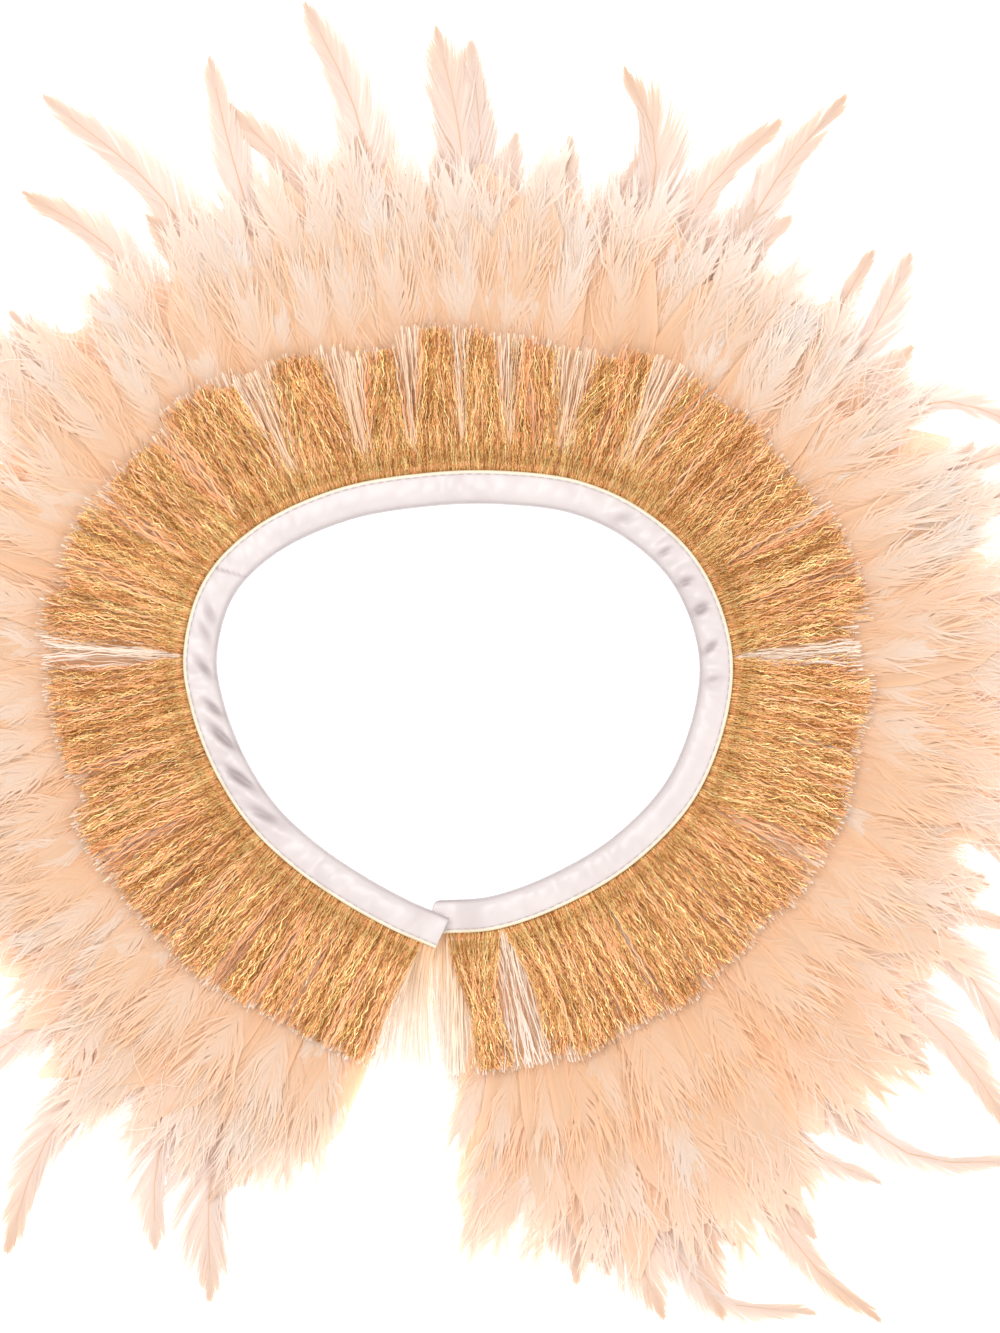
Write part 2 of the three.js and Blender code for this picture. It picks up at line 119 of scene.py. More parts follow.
# Long feathers: a point on the way out, the tip, and the widest part of the blade.
BLADES = [
    (-99, 131, -126, 149, 14), (-83, 144, -120, 177, 15), (-65, 158, -72, 188, 14),
    (-43, 147, -66, 174, 16), (-28, 168, -44, 204, 17), (1, 164, -6, 197, 22),
    (7, 160, 4, 193, 12), (31, 143, 33, 165, 13), (58, 161, 49, 185, 19),
    (70, 146, 94, 170, 13), (91, 150, 113, 177, 14), (82, 126, 97, 142, 11),
    (107, 109, 121, 132, 10), (118, 104, 132, 131, 15), (137, 88, 168, 80, 11),
    (141, 67, 170, 77, 10), (143, 56, 171, 63, 14), (146, 25, 172, 34, 15),
    (146, 1, 172, -2, 16), (145, -25, 170, -30, 15), (128, -51, 153, -50, 11),
    (138, -57, 168, -66, 9), (144, -73, 163, -102, 15), (141, -95, 162, -124, 14),
    (128, -129, 167, -133, 10), (99, -127, 123, -139, 12), (101, -160, 123, -179, 12),
    (72, -170, 104, -177, 12), (67, -144, 81, -157, 12), (51, -156, 60, -178, 24),
    (33, -146, 35, -168, 24), (-70, -130, -72, -173, 20), (-86, -128, -88, -158, 16),
    (-119, -126, -131, -159, 15), (-115, -88, -150, -110, 15), (-130, -48, -156, -62, 15),
    (-132, -19, -158, -26, 15), (-132, 16, -159, 20, 16), (-129, 51, -155, 66, 15),
    (-121, 90, -148, 112, 16),
]
BLADE_ALONG = [0.0, 0.12, 0.35, 0.55, 0.72, 0.86, 0.95, 1.0]
BLADE_SHARE = [0.3, 0.5, 1.2, 1.35, 1.0, 0.6, 0.32, 0.05]
BLADE_ROOT, BLADE_TURN = 5.7, 7.3
TIP_TAPER = 0.72

# Thread fringes: the row's ends and reach, its locks, and how far each lock is drawn together.
GOLD_START, GOLD_STOP, GOLD_REACH = 5.5, 4.2, 43.5
THREAD_ROOT, GAP_ROOT, THIN_UNTIL = 4.3, 4.6, 7
LOCKS, LOCK_SEED = 44, 3
LOCK_WIDTH = (0.5, 1.6)
PULL_ALONG = [0.0, 0.1, 0.42, 0.48, 0.6, 0.66, 1.0]
PULL = [0.3, 0.28, 0.28, 0.2, 0.2, 0.3, 0.3]
# Partings: place along the binding, half width, and whether it opens outward as a fan.
PARTINGS = [
    (0.0465, 4.6, False), (0.2864, 2.6, False), (0.7414, 2.6, False), (0.997, 2.6, False),
    (0.416, 4.2, True), (0.4525, 4.8, True), (0.4844, 3.2, True), (0.512, 2.2, True),
    (0.5418, 3.2, True), (0.5731, 4.8, True), (0.6145, 4.2, True),
]
FIRST_LOCK = dict(until=20.4, toward=20.3, pull=0.48)
GOLD_YIELD, PINK_YIELD = 2.2, 1.4
PINK_GATHER, PINK_RISE = 0.5, 2.9
# In other partings the pink is paler, partly its own tone and partly painted light against the gold's shade;
# in fans it turns peachier.
PALER_IN_FAN, PARTING_PALER_AGAINST_SHADE = -0.35, 0.5
ROOT_DROP, DROP_FROM, DROP_RUN = 2.1, 5, 9
CLEAR = 0.05


def ease(value):
    """Smooth step from 0 to 1."""
    t = np.clip(value, 0, 1)
    return t * t * (3 - 2 * t)


def smooth_line(points, per_span=40):
    """Line through points that bends as the part's source bends it."""
    points = np.asarray(points, float)
    ends = np.vstack([2 * points[0] - points[1], points, 2 * points[-1] - points[-2]])
    t = np.linspace(0, 1, per_span, endpoint=False)[:, None]
    spans = []
    for p0, p1, p2, p3 in zip(ends, ends[1:], ends[2:], ends[3:]):
        d0, d1, d2 = (np.linalg.norm(b - a) ** 0.5 for a, b in ((p0, p1), (p1, p2), (p2, p3)))
        m1 = d1 * ((p1 - p0) / d0 - (p2 - p0) / (d0 + d1) + (p2 - p1) / d1)
        m2 = d1 * ((p2 - p1) / d1 - (p3 - p1) / (d1 + d2) + (p3 - p2) / d2)
        spans.append(
            (2 * t**3 - 3 * t**2 + 1) * p1 + (t**3 - 2 * t**2 + t) * m1
            + (3 * t**2 - 2 * t**3) * p2 + (t**3 - t**2) * m2
        )
    return np.vstack(spans + [points[-1:]])


def run_length(line):
    return np.concatenate([[0], np.cumsum(np.linalg.norm(np.diff(line, axis=0), axis=1))])


NECK = smooth_line(NECKLINE)
NECK_RUN = run_length(NECK)
LENGTH = NECK_RUN[-1]
NECK_AHEAD = np.gradient(NECK, NECK_RUN, axis=0)
NECK_AHEAD /= np.linalg.norm(NECK_AHEAD, axis=1, keepdims=True)
FLUFF_ENDS = FLUFF_START, LENGTH - FLUFF_STOP
GOLD_ENDS = GOLD_START, LENGTH - GOLD_STOP


def rooted(ends, count, low=0.0, high=1.0):
    """Roots spread along a row, one by chance in each equal step."""
    first, last = ends
    return first + (last - first) * (np.arange(count) + rng.uniform(low, high, count)) / count


def lift(s, out):
    """Rise of the end that lies on top, fading out along the trims."""
    risen = ease((s - (LENGTH - LIFT_RUN)) / (LIFT_RUN - LIFT_LEVEL))
    return END_LIFT * risen * (1 - ease((out - LIFT_OUT) / LIFT_FADE))


def plan(s, out):
    """Places from above at lengths s along the binding and distances out from its middle line."""
    s, out = np.broadcast_arrays(np.asarray(s, float), np.asarray(out, float))
    on = np.clip(s, 0, LENGTH)
    ahead = np.stack([np.interp(on, NECK_RUN, NECK_AHEAD[:, i]) for i in (0, 1)], -1)
    ahead /= np.linalg.norm(ahead, axis=-1, keepdims=True)
    place = np.stack([np.interp(on, NECK_RUN, NECK[:, i]) for i in (0, 1)], -1)
    place = place + ahead * (s - on)[..., None]
    return place + np.stack([ahead[..., 1], -ahead[..., 0]], -1) * out[..., None]


def spot(s, out, z):
    s, out, z = np.broadcast_arrays(*(np.asarray(v, float) for v in (s, out, z)))
    return np.concatenate([plan(s, out), (z + lift(s, out))[..., None]], -1)


def between(out, stops, sides, share):
    """Height at a share of the way from a row's underside to its top."""
    low, top = (np.interp(out, stops, side) for side in sides)
    return low + (top - low) * share


def lie(row, out, share):
    return between(out, LIE_OUT, LIE[row], share)


def band_height(s):
    flat = ease(np.minimum(s - UNDER_END, LENGTH - TOP_END - s) / END_EASE)
    return END_HEIGHT + (BAND_HEIGHT - END_HEIGHT) * flat


def tuck(s, out, z):
    """Height of a thread whose root is pressed into the flattened ends of the binding."""
    flat = (BAND_HEIGHT - band_height(s)) / (BAND_HEIGHT - END_HEIGHT)
    drop = ROOT_DROP * flat * (1 - ease((out - DROP_FROM) / DROP_RUN))
    return np.maximum(z - drop, WALL + CLEAR)


def nearest(places):
    """Length along the binding and distance out of places seen from above."""
    first, last = FLUFF_ENDS
    keep = (NECK_RUN > first + ROOT_MARGIN) & (NECK_RUN < last - ROOT_MARGIN)
    line, run = NECK[keep][::4], NECK_RUN[keep][::4]
    gaps = np.linalg.norm(places[..., None, :] - line, axis=-1)
    best = gaps.argmin(-1)
    return run[best], gaps.min(-1)


# The neck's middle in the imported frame, from the binding's own box.
edge_line = np.vstack([plan(NECK_RUN, BAND_WIDTH / 2), plan(NECK_RUN, -BAND_WIDTH / 2)])
band_low, band_high = (np.array(c[:2]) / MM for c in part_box("satin_binding"))
SHIFT = np.append((band_low + band_high) / 2 - (edge_line.min(0) + edge_line.max(0)) / 2, 0)


def metres(places):
    return (np.asarray(places) + SHIFT) * MM


# Nodes and finishes

WHITE = (1, 1, 1)


def node(tree, kind, **values):
    made = tree.nodes.new(kind)
    for key, value in values.items():
        setattr(made, key, value)
    return made


def settle(made, values):
    """Sets constants on a node's own sockets."""
    for socket, value in values.items():
        made.inputs[socket].default_value = value
    return made


def chain(tree, output, *nodes):
    """Links an output through nodes in turn, first output to first socket."""
    for made in nodes:
        tree.links.new(output, made.inputs[0])
        output = next(iter(made.outputs), None)
    return output


def new_tree(name, kind, inputs, outputs):
    """An empty node group with named inputs and outputs."""
    tree = bpy.data.node_groups.new(name, kind)
    for side, sockets in (("INPUT", inputs), ("OUTPUT", outputs)):
        for socket, holds in sockets.items():
            tree.interface.new_socket(socket, in_out=side, socket_type="NodeSocket" + holds)
    return tree, node(tree, "NodeGroupInput"), node(tree, "NodeGroupOutput")


def fresh_material(name):
    made = bpy.data.materials.new(name)
    made.use_nodes = True
    return made, made.node_tree, made.node_tree.nodes["Principled BSDF"]


def ramp(tree, stops, factor):
    made = node(tree, "ShaderNodeValToRGB")
    bar = made.color_ramp
    while len(bar.elements) < len(stops):
        bar.elements.new(0.5)
    for element, (at, colour) in zip(bar.elements, stops):
        element.position = at
        element.color = (*colour, 1)
    tree.links.new(factor, made.inputs["Fac"])
    return made.outputs["Color"]


def mixed(tree, factor, a, b, blend="MIX"):
    made = node(tree, "ShaderNodeMix", data_type="RGBA", blend_type=blend)
    for socket, value in ((made.inputs[0], factor), (made.inputs[6], a), (made.inputs[7], b)):
        if hasattr(value, "is_linked"):
            tree.links.new(value, socket)
        elif isinstance(value, tuple):
            socket.default_value = (*value, 1)
        else:
            socket.default_value = value
    return made.outputs[2]


def strand_group():
    """From a strand's own map: how far along it, which shade it has, and a noise drawn out along it."""
    tree, start, end = new_tree(
        "strand map", "ShaderNodeTree",
        dict(Stretch="Vector", Detail="Float"), dict(Along="Float", Shade="Float", Noise="Float"),
    )
    link = tree.links.new
    places = node(tree, "ShaderNodeTexCoord")
    parts = node(tree, "ShaderNodeSeparateXYZ")
    link(places.outputs["UV"], parts.inputs[0])
    link(parts.outputs["X"], end.inputs["Along"])
    link(parts.outputs["Y"], end.inputs["Shade"])
    drawn = node(tree, "ShaderNodeMapping")
    noise = settle(node(tree, "ShaderNodeTexNoise", noise_dimensions="2D"), {"Scale": 1})
    link(start.outputs["Stretch"], drawn.inputs["Scale"])
    link(start.outputs["Detail"], noise.inputs["Detail"])
    link(chain(tree, places.outputs["UV"], drawn, noise), end.inputs["Noise"])
    return tree


def grain_group():
    """An even grain in a piece's own places."""
    tree, start, end = new_tree(
        "grain", "ShaderNodeTree", dict(Scale="Float", Detail="Float"), dict(Grain="Float")
    )
    places = node(tree, "ShaderNodeTexCoord")
    noise = node(tree, "ShaderNodeTexNoise")
    for socket in ("Scale", "Detail"):
        tree.links.new(start.outputs[socket], noise.inputs[socket])
    chain(tree, places.outputs["Object"], noise, end)
    return tree


STRAND_MAP, GRAIN = strand_group(), grain_group()


def effect(tree, group, values):
    """A shader group placed in a material with its own values."""
    return settle(node(tree, "ShaderNodeGroup", node_tree=group), values).outputs


def plume_material(name, stops, quill, through, streaked=False):
    """Barbs and soft threads: colour along the strand, a deeper quill, and light let through from behind."""
    made, tree, shader = fresh_material(name)
    strand = effect(tree, STRAND_MAP, {"Stretch": (2.5, 90, 1), "Detail": 2})
    colour = ramp(tree, stops, strand["Along"])
    if streaked:
        fine = ramp(tree, [(0.3, (0.99, 0.93, 0.87)), (0.65, WHITE)], strand["Noise"])
        colour = mixed(tree, 1.0, colour, fine, "MULTIPLY")
    tones = [(0.0, quill), (0.09, quill), (0.1, (1, 0.97, 0.93)), (0.55, WHITE), (1.0, WHITE)]
    colour = mixed(tree, 1.0, colour, ramp(tree, tones, strand["Shade"]), "MULTIPLY")
    tree.links.new(colour, shader.inputs["Base Color"])
    settle(shader, {"Roughness": 0.7, "Specular IOR Level": 0.0})
    glow = node(tree, "ShaderNodeBsdfTranslucent")
    both = settle(node(tree, "ShaderNodeMixShader"), {0: through})
    tree.links.new(shader.outputs[0], both.inputs[1])
    tree.links.new(chain(tree, colour, glow), both.inputs[2])
    chain(tree, both.outputs[0], tree.nodes["Material Output"])
    return made


def thread_material(name, stops, roughness, metallic, speckle):
    """Crimped thread: darker at its root as painted shade, with a tone that changes from strand to strand and
    in flecks along it; with the gold's stops the flecks are painted glints and painted shade.
    """
    made, tree, shader = fresh_material(name)
    strand = effect(tree, STRAND_MAP, {"Stretch": (48, 200, 1), "Detail": 1})
    both = settle(node(tree, "ShaderNodeMix", data_type="FLOAT"), {0: speckle})
    tree.links.new(strand["Shade"], both.inputs[2])
    tree.links.new(strand["Noise"], both.inputs[3])
    # Painted shade: the threads darken towards their root at the binding.
    painted_root_shade = ramp(tree, [(0.0, (0.72, 0.6, 0.5)), (0.16, WHITE)], strand["Along"])
    colour = mixed(tree, 1.0, ramp(tree, stops, both.outputs[0]), painted_root_shade, "MULTIPLY")
    tree.links.new(colour, shader.inputs["Base Color"])
    settle(shader, {"Roughness": roughness, "Metallic": metallic})
    return made


def satin_material():
    """Satin with a soft change of tone and a fine weave, with shade painted into its fold, dents and join,
    and warmer at its rim.
    """
    made, tree, shader = fresh_material("satin of the binding")
    soft = effect(tree, GRAIN, {"Scale": 70, "Detail": 3})["Grain"]
    cloth = ramp(tree, [(0.3, (0.60, 0.53, 0.525)), (0.7, (0.665, 0.595, 0.58))], soft)
    # Painted shade: darker satin in the fold, the dents and the join; then the rim's own warmer colour.
    for place, colour in (("painted_shade", (0.36, 0.295, 0.295)), ("rim", (0.75, 0.67, 0.49))):
        mask = node(tree, "ShaderNodeAttribute", attribute_name=place)
        cloth = mixed(tree, mask.outputs["Fac"], cloth, colour)
    tree.links.new(cloth, shader.inputs["Base Color"])
    places = node(tree, "ShaderNodeTexCoord")
    drawn = settle(node(tree, "ShaderNodeMapping"), {"Scale": (1, 0.25, 1)})
    weave = settle(node(tree, "ShaderNodeTexNoise"), {"Scale": 900})
    bump = settle(node(tree, "ShaderNodeBump"), {"Strength": 0.12, "Distance": 0.0003})
    tree.links.new(chain(tree, places.outputs["UV"], drawn, weave), bump.inputs["Height"])
    tree.links.new(bump.outputs[0], shader.inputs["Normal"])
    settle(shader, {"Roughness": 0.36, "Sheen Weight": 0.3, "Anisotropic": 0.4})
    return made


def grained_material(name, scale, dark, light, metallic, roughness):
    """A plain finish with an even grain, for the sewing thread and the snap."""
    made, tree, shader = fresh_material(name)
    grain = effect(tree, GRAIN, {"Scale": scale, "Detail": 2})["Grain"]
    tree.links.new(ramp(tree, [(0.3, dark), (0.7, light)], grain), shader.inputs["Base Color"])
    settle(shader, {"Metallic": metallic, "Roughness": roughness})
    return made


# Strands: guides drawn in arrays, swept into flat ribbons by one Geometry Nodes tree.

COLUMNS = ("along", "shade", "girth", "roll")


def placed(name, data):
    made = bpy.data.objects.new(name, data)
    bpy.context.scene.collection.objects.link(made)
    return made


def store(mesh, name, values):
    """Keeps one number for each point of a mesh."""
    column = mesh.attributes.new(name, "FLOAT", "POINT")
    column.data.foreach_set("value", np.ascontiguousarray(values, np.float32).ravel())


class Guides:
    """Polylines with a place along them, a shade, a girth and a roll, ready to be swept."""

    def __init__(self):
        self.places, self.columns, self.edges, self.count = [], [], [], 0

    def add(self, path, along, shade, girth, roll):
        """Adds lines of points. A column has one value in all, one for each line or one for each point."""
        n, k = path.shape[:2]
        columns = []
        for column in (along, shade, girth, roll):
            values = np.asarray(column, float).reshape((n, -1) if np.ndim(column) else (1, 1))
            columns.append(np.broadcast_to(values, (n, k)).reshape(-1))
        self.places.append(path.reshape(-1, 3))
        self.columns.append(np.stack(columns, 1))
        first = self.count + np.arange(n)[:, None] * k + np.arange(k - 1)
        self.edges.append(np.stack([first, first + 1], -1).reshape(-1, 2))
        self.count += n * k

    def mesh(self, name):
        mesh = bpy.data.meshes.new(name)
        places, edges = metres(np.vstack(self.places)), np.vstack(self.edges)
        mesh.vertices.add(len(places))
        mesh.vertices.foreach_set("co", places.astype(np.float32).ravel())
        mesh.edges.add(len(edges))
        mesh.edges.foreach_set("vertices", edges.astype(np.int32).ravel())
        for column, values in zip(COLUMNS, np.vstack(self.columns).T):
            store(mesh, column, values)
        return mesh


def ribbon_tree():
    """Guides become flat ribbons, mapped by the place along them and their shade."""
    tree, start, end = new_tree(
        "ribbons along guides", "GeometryNodeTree",
        dict(Guides="Geometry", Width="Float", Across="Float", Finish="Material"), dict(Ribbons="Geometry"),
    )
    link = tree.links.new

    def column(name):
        made = node(tree, "GeometryNodeInputNamedAttribute", data_type="FLOAT")
        return settle(made, {"Name": name}).outputs["Attribute"]

    lines = node(tree, "GeometryNodeMeshToCurve")
    level = node(tree, "GeometryNodeSetCurveNormal", mode="Z_UP")
    turned = node(tree, "GeometryNodeSetCurveTilt")
    curves = chain(tree, start.outputs["Guides"], lines, level, turned)
    link(column("roll"), turned.inputs["Tilt"])

    profile = node(tree, "GeometryNodeCurvePrimitiveLine")
    for share, socket in ((-0.5, "Start"), (0.5, "End")):
        half = settle(node(tree, "ShaderNodeMath", operation="MULTIPLY"), {1: share})
        corner = node(tree, "ShaderNodeCombineXYZ")
        link(chain(tree, start.outputs["Width"], half, corner), profile.inputs[socket])
    side = node(tree, "GeometryNodeInputIndex")
    marked = node(tree, "GeometryNodeStoreNamedAttribute", data_type="FLOAT", domain="POINT")
    settle(marked, {"Name": "side"})
    link(side.outputs[0], marked.inputs["Value"])

    swept = node(tree, "GeometryNodeCurveToMesh")
    swept_mesh = chain(tree, curves, swept)
    link(chain(tree, profile.outputs[0], marked), swept.inputs["Profile Curve"])
    link(column("girth"), swept.inputs["Scale"])

    across = node(tree, "ShaderNodeMath", operation="MULTIPLY_ADD")
    link(start.outputs["Across"], across.inputs[1])
    link(column("side"), across.inputs[0])
    link(column("shade"), across.inputs[2])
    place = node(tree, "ShaderNodeCombineXYZ")
    link(column("along"), place.inputs["X"])
    link(across.outputs[0], place.inputs["Y"])
    mapped = node(tree, "GeometryNodeStoreNamedAttribute", data_type="FLOAT2", domain="CORNER")
    settle(mapped, {"Name": "OFBake"})
    link(place.outputs[0], mapped.inputs["Value"])

    whole = node(tree, "GeometryNodeRealizeInstances")
    finish = node(tree, "GeometryNodeSetMaterial")
    link(start.outputs["Finish"], finish.inputs["Material"])
    chain(tree, swept_mesh, mapped, whole, finish, end)
    return tree


def apply_tree(name, mesh, tree, **inputs):
    """A plain mesh object from a guide mesh and a tree with those inputs."""
    guide = placed(name + " guide", mesh)
    modifier = guide.modifiers.new("made", "NODES")
    modifier.node_group = tree
    sockets = {item.name: item.identifier for item in tree.interface.items_tree if item.in_out == "INPUT"}
    for key, value in inputs.items():
        modifier[sockets[key]] = value
    guide.update_tag()
    depsgraph = bpy.context.evaluated_depsgraph_get()
    made = bpy.data.meshes.new_from_object(guide.evaluated_get(depsgraph), depsgraph=depsgraph)
    made.name = name
    guide.modifiers.clear()
    bpy.data.objects.remove(guide)
    for column in (*COLUMNS, "side"):
        if column in made.attributes:
            made.attributes.remove(made.attributes[column])
    return placed(name, made)


RIBBONS = ribbon_tree()


def dress(piece, slot, *nodes):
    """Puts a piece on the one body, in the place of any nodes named."""
    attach(piece, "root")
    if nodes:
        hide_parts(*nodes)


# Feathers

# Chance values that the barbs of one clump share.
CLUMPS = rng.normal(0, 1, 997)
SPLITS = np.random.default_rng(5).normal(0, 1, 4096)


class Spines:
    """Middle lines of feathers, with the directions ahead, aside and up along them."""

    def __init__(self, path):
        self.path = path
        ahead = np.gradient(path, axis=1)
        self.ahead = ahead / np.linalg.norm(ahead, axis=-1, keepdims=True)
        aside = np.cross(self.ahead, (0.0, 0.0, 1.0))
        self.aside = aside / np.linalg.norm(aside, axis=-1, keepdims=True)
        self.up = np.cross(self.aside, self.ahead)

    def at(self, which, t):
        x = np.clip(t, 0, 1) * (self.path.shape[1] - 1)
        i = np.minimum(x.astype(int), self.path.shape[1] - 2)
        w = (x - i)[:, None]
        grids = (self.path, self.ahead, self.aside, self.up)
        return [grid[which, i] * (1 - w) + grid[which, i + 1] * w for grid in grids]


def barb_paths(spines, which, t, side, length, angle, curl, rise, wave, stops):
    """Barbs that leave their quill at an angle and bend towards the feather's tip."""
    start, ahead, aside, up = spines.at(which, t)
    q = np.asarray(stops)[None, :]
    turn = angle[:, None] * (1 - curl[:, None] * q)
    sway = wave[:, None] * np.sin(q * 7 + which[:, None] * 1.7 + t[:, None] * 60) * q
    forward = length[:, None] * q * np.cos(turn)
    outward = length[:, None] * q * (np.sin(turn) + sway) * side[:, None]
    upward = length[:, None] * (rise[:, :1] * q + rise[:, 1:] * q * q)
    return (
        start[:, None] + forward[..., None] * ahead[:, None]
        + outward[..., None] * aside[:, None] + upward[..., None] * up[:, None]
    )


def keep_over_floor(path, floor=0.25):
    """Lifts what dips below a height, with a little unevenness."""
    z = path[..., 2]
    path[..., 2] = np.where(z < floor, floor + 0.15 * np.abs(np.sin(path[..., 0] * 3)), z)
    return path


def end_sweep(s):
    """Lean of the plumes at both ends of the row, towards the closure."""
    first, last = FLUFF_ENDS
    return SWEEP_FIRST * (1 - ease((s - first) / SWEEP_RUN)) + SWEEP_LAST * (1 - ease((last - s) / SWEEP_RUN))


def fluff_spines(count, shares, reaches):
    """Middle lines of plumes that fan out in tufts, with the reach and the root of each."""
    first, last = FLUFF_ENDS
    s = rooted(FLUFF_ENDS, count)
    pitch = (last - first) / TUFTS
    middle = first + (np.floor((s - first) / pitch) + 0.5) * pitch
    s = middle + (s - middle) * TUFT_DRAW
    reach = np.interp(s / LENGTH, FLUFF_ALONG, FLUFF_REACH) * rng.uniform(*reaches, count)
    sway = PLUME_LEAN * rng.normal(0, 1, count) * ease(np.minimum(s - first, last - s) / 22)
    sway += end_sweep(s)
    t = np.linspace(0, 1, 36)[None]
    out = PLUME_ROOT + (reach[:, None] - PLUME_ROOT) * t
    share = rng.uniform(*shares, count)[:, None]
    z = lie("fluff", out, share * (1 - 0.6 * t * t))
    return Spines(spot(s[:, None] + sway[:, None] * t * t, out, z)), reach, s


def fluff_barbs(guides, spines, reach, s, per, length, lift_share, rolled, under_shade_tint):
    """Soft barbs on both sides of each plume, lying nearly flat and drawn into small clumps."""
    count = len(reach)
    which = np.repeat(np.arange(count), per)
    n = len(which)
    t0 = np.clip((BARBS_FROM - PLUME_ROOT) / (reach[which] - PLUME_ROOT), 0, 0.6)
    step = (np.tile(np.arange(per), count) + rng.uniform(-0.6, 0.6, n)) / per
    t = t0 + (1 - t0) * np.clip(step, 0, 0.995)
    side = np.where(np.arange(n) % 2, 1.0, -1.0)
    clump = (np.floor(t * 15 + which * 2.3) + 7 * (side > 0) + which * 13).astype(int)
    split = CLUMPS[clump % len(CLUMPS)]
    size = length * rng.uniform(0.75, 1.15, n) * (1.05 - 0.55 * t) * (1 + 0.12 * split)
    angle = np.radians(np.clip(40 - 10 * t + 3 * split + rng.normal(0, 1, n) * (4 + 5 * t), 4, 66))
    rise = np.stack([rng.normal(lift_share, 0.02, n) + 0.015 * split, rng.normal(-0.08, 0.02, n)], 1)
    curl = rng.uniform(0.3, 0.8, n)
    wave = rng.uniform(0.01, 0.06, n)
    stops = np.array([0, 0.45, 1.0])
    path = barb_paths(spines, which, t, side, size, angle, curl, rise, wave, stops)
    path = keep_over_floor(path, 1.5)
    out = PLUME_ROOT + (reach[which] - PLUME_ROOT) * t
    bare = (out / np.maximum(reach[which], 1))[:, None]
    paler = np.interp(s / LENGTH, PALER_ALONG, PALER)[which][:, None]
    along = 0.74 * ease((bare - 0.3) / 0.8) + (paler + 0.15 * stops) * ease((bare - 0.3) / 0.5)
    # The lower plumes' deeper peach is painted shade, standing for the warm shade beneath the upper plumes.
    along = np.clip(along + 0.03 * split[:, None] - under_shade_tint, 0.01, 0.99)
    shade = np.clip(rng.random(count)[which] * 0.5 + rng.random(n) * 0.3 + 0.14, 0.13, 0.97)
    width = rng.uniform(0.8, 1.2, n)[:, None] * np.array([0.8, 1.0, 0.08])
    guides.add(path, along, shade, width, rng.normal(0, rolled, n))


def loose_down(guides, count, length, girth):
    """Short down between the plumes, lying outward with a light scatter."""
    s = rng.uniform(*FLUFF_ENDS, count)
    reach = np.interp(s / LENGTH, FLUFF_ALONG, FLUFF_REACH)
    root = DOWN_FROM + (reach * 0.9 - DOWN_FROM) * rng.random(count) ** 0.8
    size = length * rng.uniform(0.55, 1.3, count)
    turn = rng.normal(0, 0.42, count)
    bend = rng.normal(0, 0.35, count)
    q = np.array([0, 0.5, 1.0])[None]
    out = np.minimum(root[:, None] + size[:, None] * q * np.cos(turn)[:, None], reach[:, None] * 1.03)
    t = (out - 12) / (reach[:, None] - 12)
    sway = end_sweep(s)[:, None] * t * t
    aside = size[:, None] * (np.sin(turn)[:, None] * q + bend[:, None] * q * q) * 60 / (60 + out)
    share = rng.uniform(0.0, 0.5, count)[:, None] + rng.normal(0.02, 0.08, count)[:, None] * q
    path = spot(s[:, None] + sway + aside, out, lie("fluff", out, share))
    bare = out / reach[:, None]
    along = np.clip(0.9 * ease((bare - 0.25) / 0.85) + 0.1 * q, 0.01, 0.99)
    shade = rng.uniform(0.13, 0.97, count)
    width = girth * rng.uniform(0.6, 1.2, count)[:, None] * np.array([0.8, 1.0, 0.1])
    guides.add(path, along, shade, width, rng.normal(0, 0.25, count))


def soft_vanes(guides, spines, wide, stop):
    """The close part of each under feather: a thin sheet along its quill, beneath the loose barbs."""
    n, k = len(spines.path), 14
    t = np.linspace(0, stop, k)
    which = np.repeat(np.arange(n), k)
    path = spines.at(which, np.tile(t, n))[0].reshape(n, k, 3) - np.array([0, 0, 0.3])
    swell = np.interp(np.linspace(0, 1, k), [0, 0.25, 0.6, 0.85, 1.0], [0.5, 0.9, 1.0, 0.75, 0.1])
    # The sheets stay a deeper peach all along: painted shade for the warm shade beneath the barbs.
    along = np.broadcast_to(0.5 * ease((t - 0.3) / 0.75), (n, k))
    guides.add(path, along, rng.uniform(0.14, 0.6, n), wide[:, None] * swell, rng.normal(0, 0.06, n))


def quills(guides, spines, girth):
    path = spines.path[:, ::5]
    n, k = path.shape[:2]
    width = girth * np.linspace(1, 0.15, k)[None] * np.ones((n, 1))
    guides.add(path + np.array([0, 0, 0.12]), 0.5, 0.03, width, 0.0)


def blade_spines(rows):
    """Middle lines of tapered feathers from the binding through a point to the tip, and their widths."""
    lines, widths = [], []
    for way_x, way_y, tip_x, tip_y, width in rows:
        root = nearest(np.array([[way_x, way_y]], float))[0][0]
        knots = [plan(root, BLADE_ROOT), plan(root, BLADE_TURN), (way_x, way_y), (tip_x, tip_y)]
        line = smooth_line(np.vstack(knots), 30)
        run = run_length(line)
        places = np.stack([np.interp(np.linspace(0, run[-1], 60), run, line[:, i]) for i in (0, 1)], 1)
        out = nearest(places)[1]
        z = lie("blades", out, rng.uniform(0.35, 0.85)) + lift(root, out)
        lines.append(np.column_stack([places, z]))
        widths.append(width)
    return Spines(np.array(lines)), np.array(widths, float)


def extra_blades(count):
    """Shorter tapered feathers between the long ones."""
    first, last = FLUFF_ENDS[0] + BLADE_MARGIN, FLUFF_ENDS[1] - BLADE_MARGIN
    s = rooted((first, last), count, 0.2, 0.8)
    reach = np.interp(s / LENGTH, FLUFF_ALONG, FLUFF_REACH) * rng.uniform(0.92, 1.12, count)
    bend = rng.normal(0, 5, count) * ease(np.minimum(s - first, last - s) / 25)
    way, tip = plan(s + bend * 0.4, reach * 0.72), plan(s + bend, reach)
    return [(*w, *e, wide) for w, e, wide in zip(way, tip, rng.uniform(13, 24, count))]


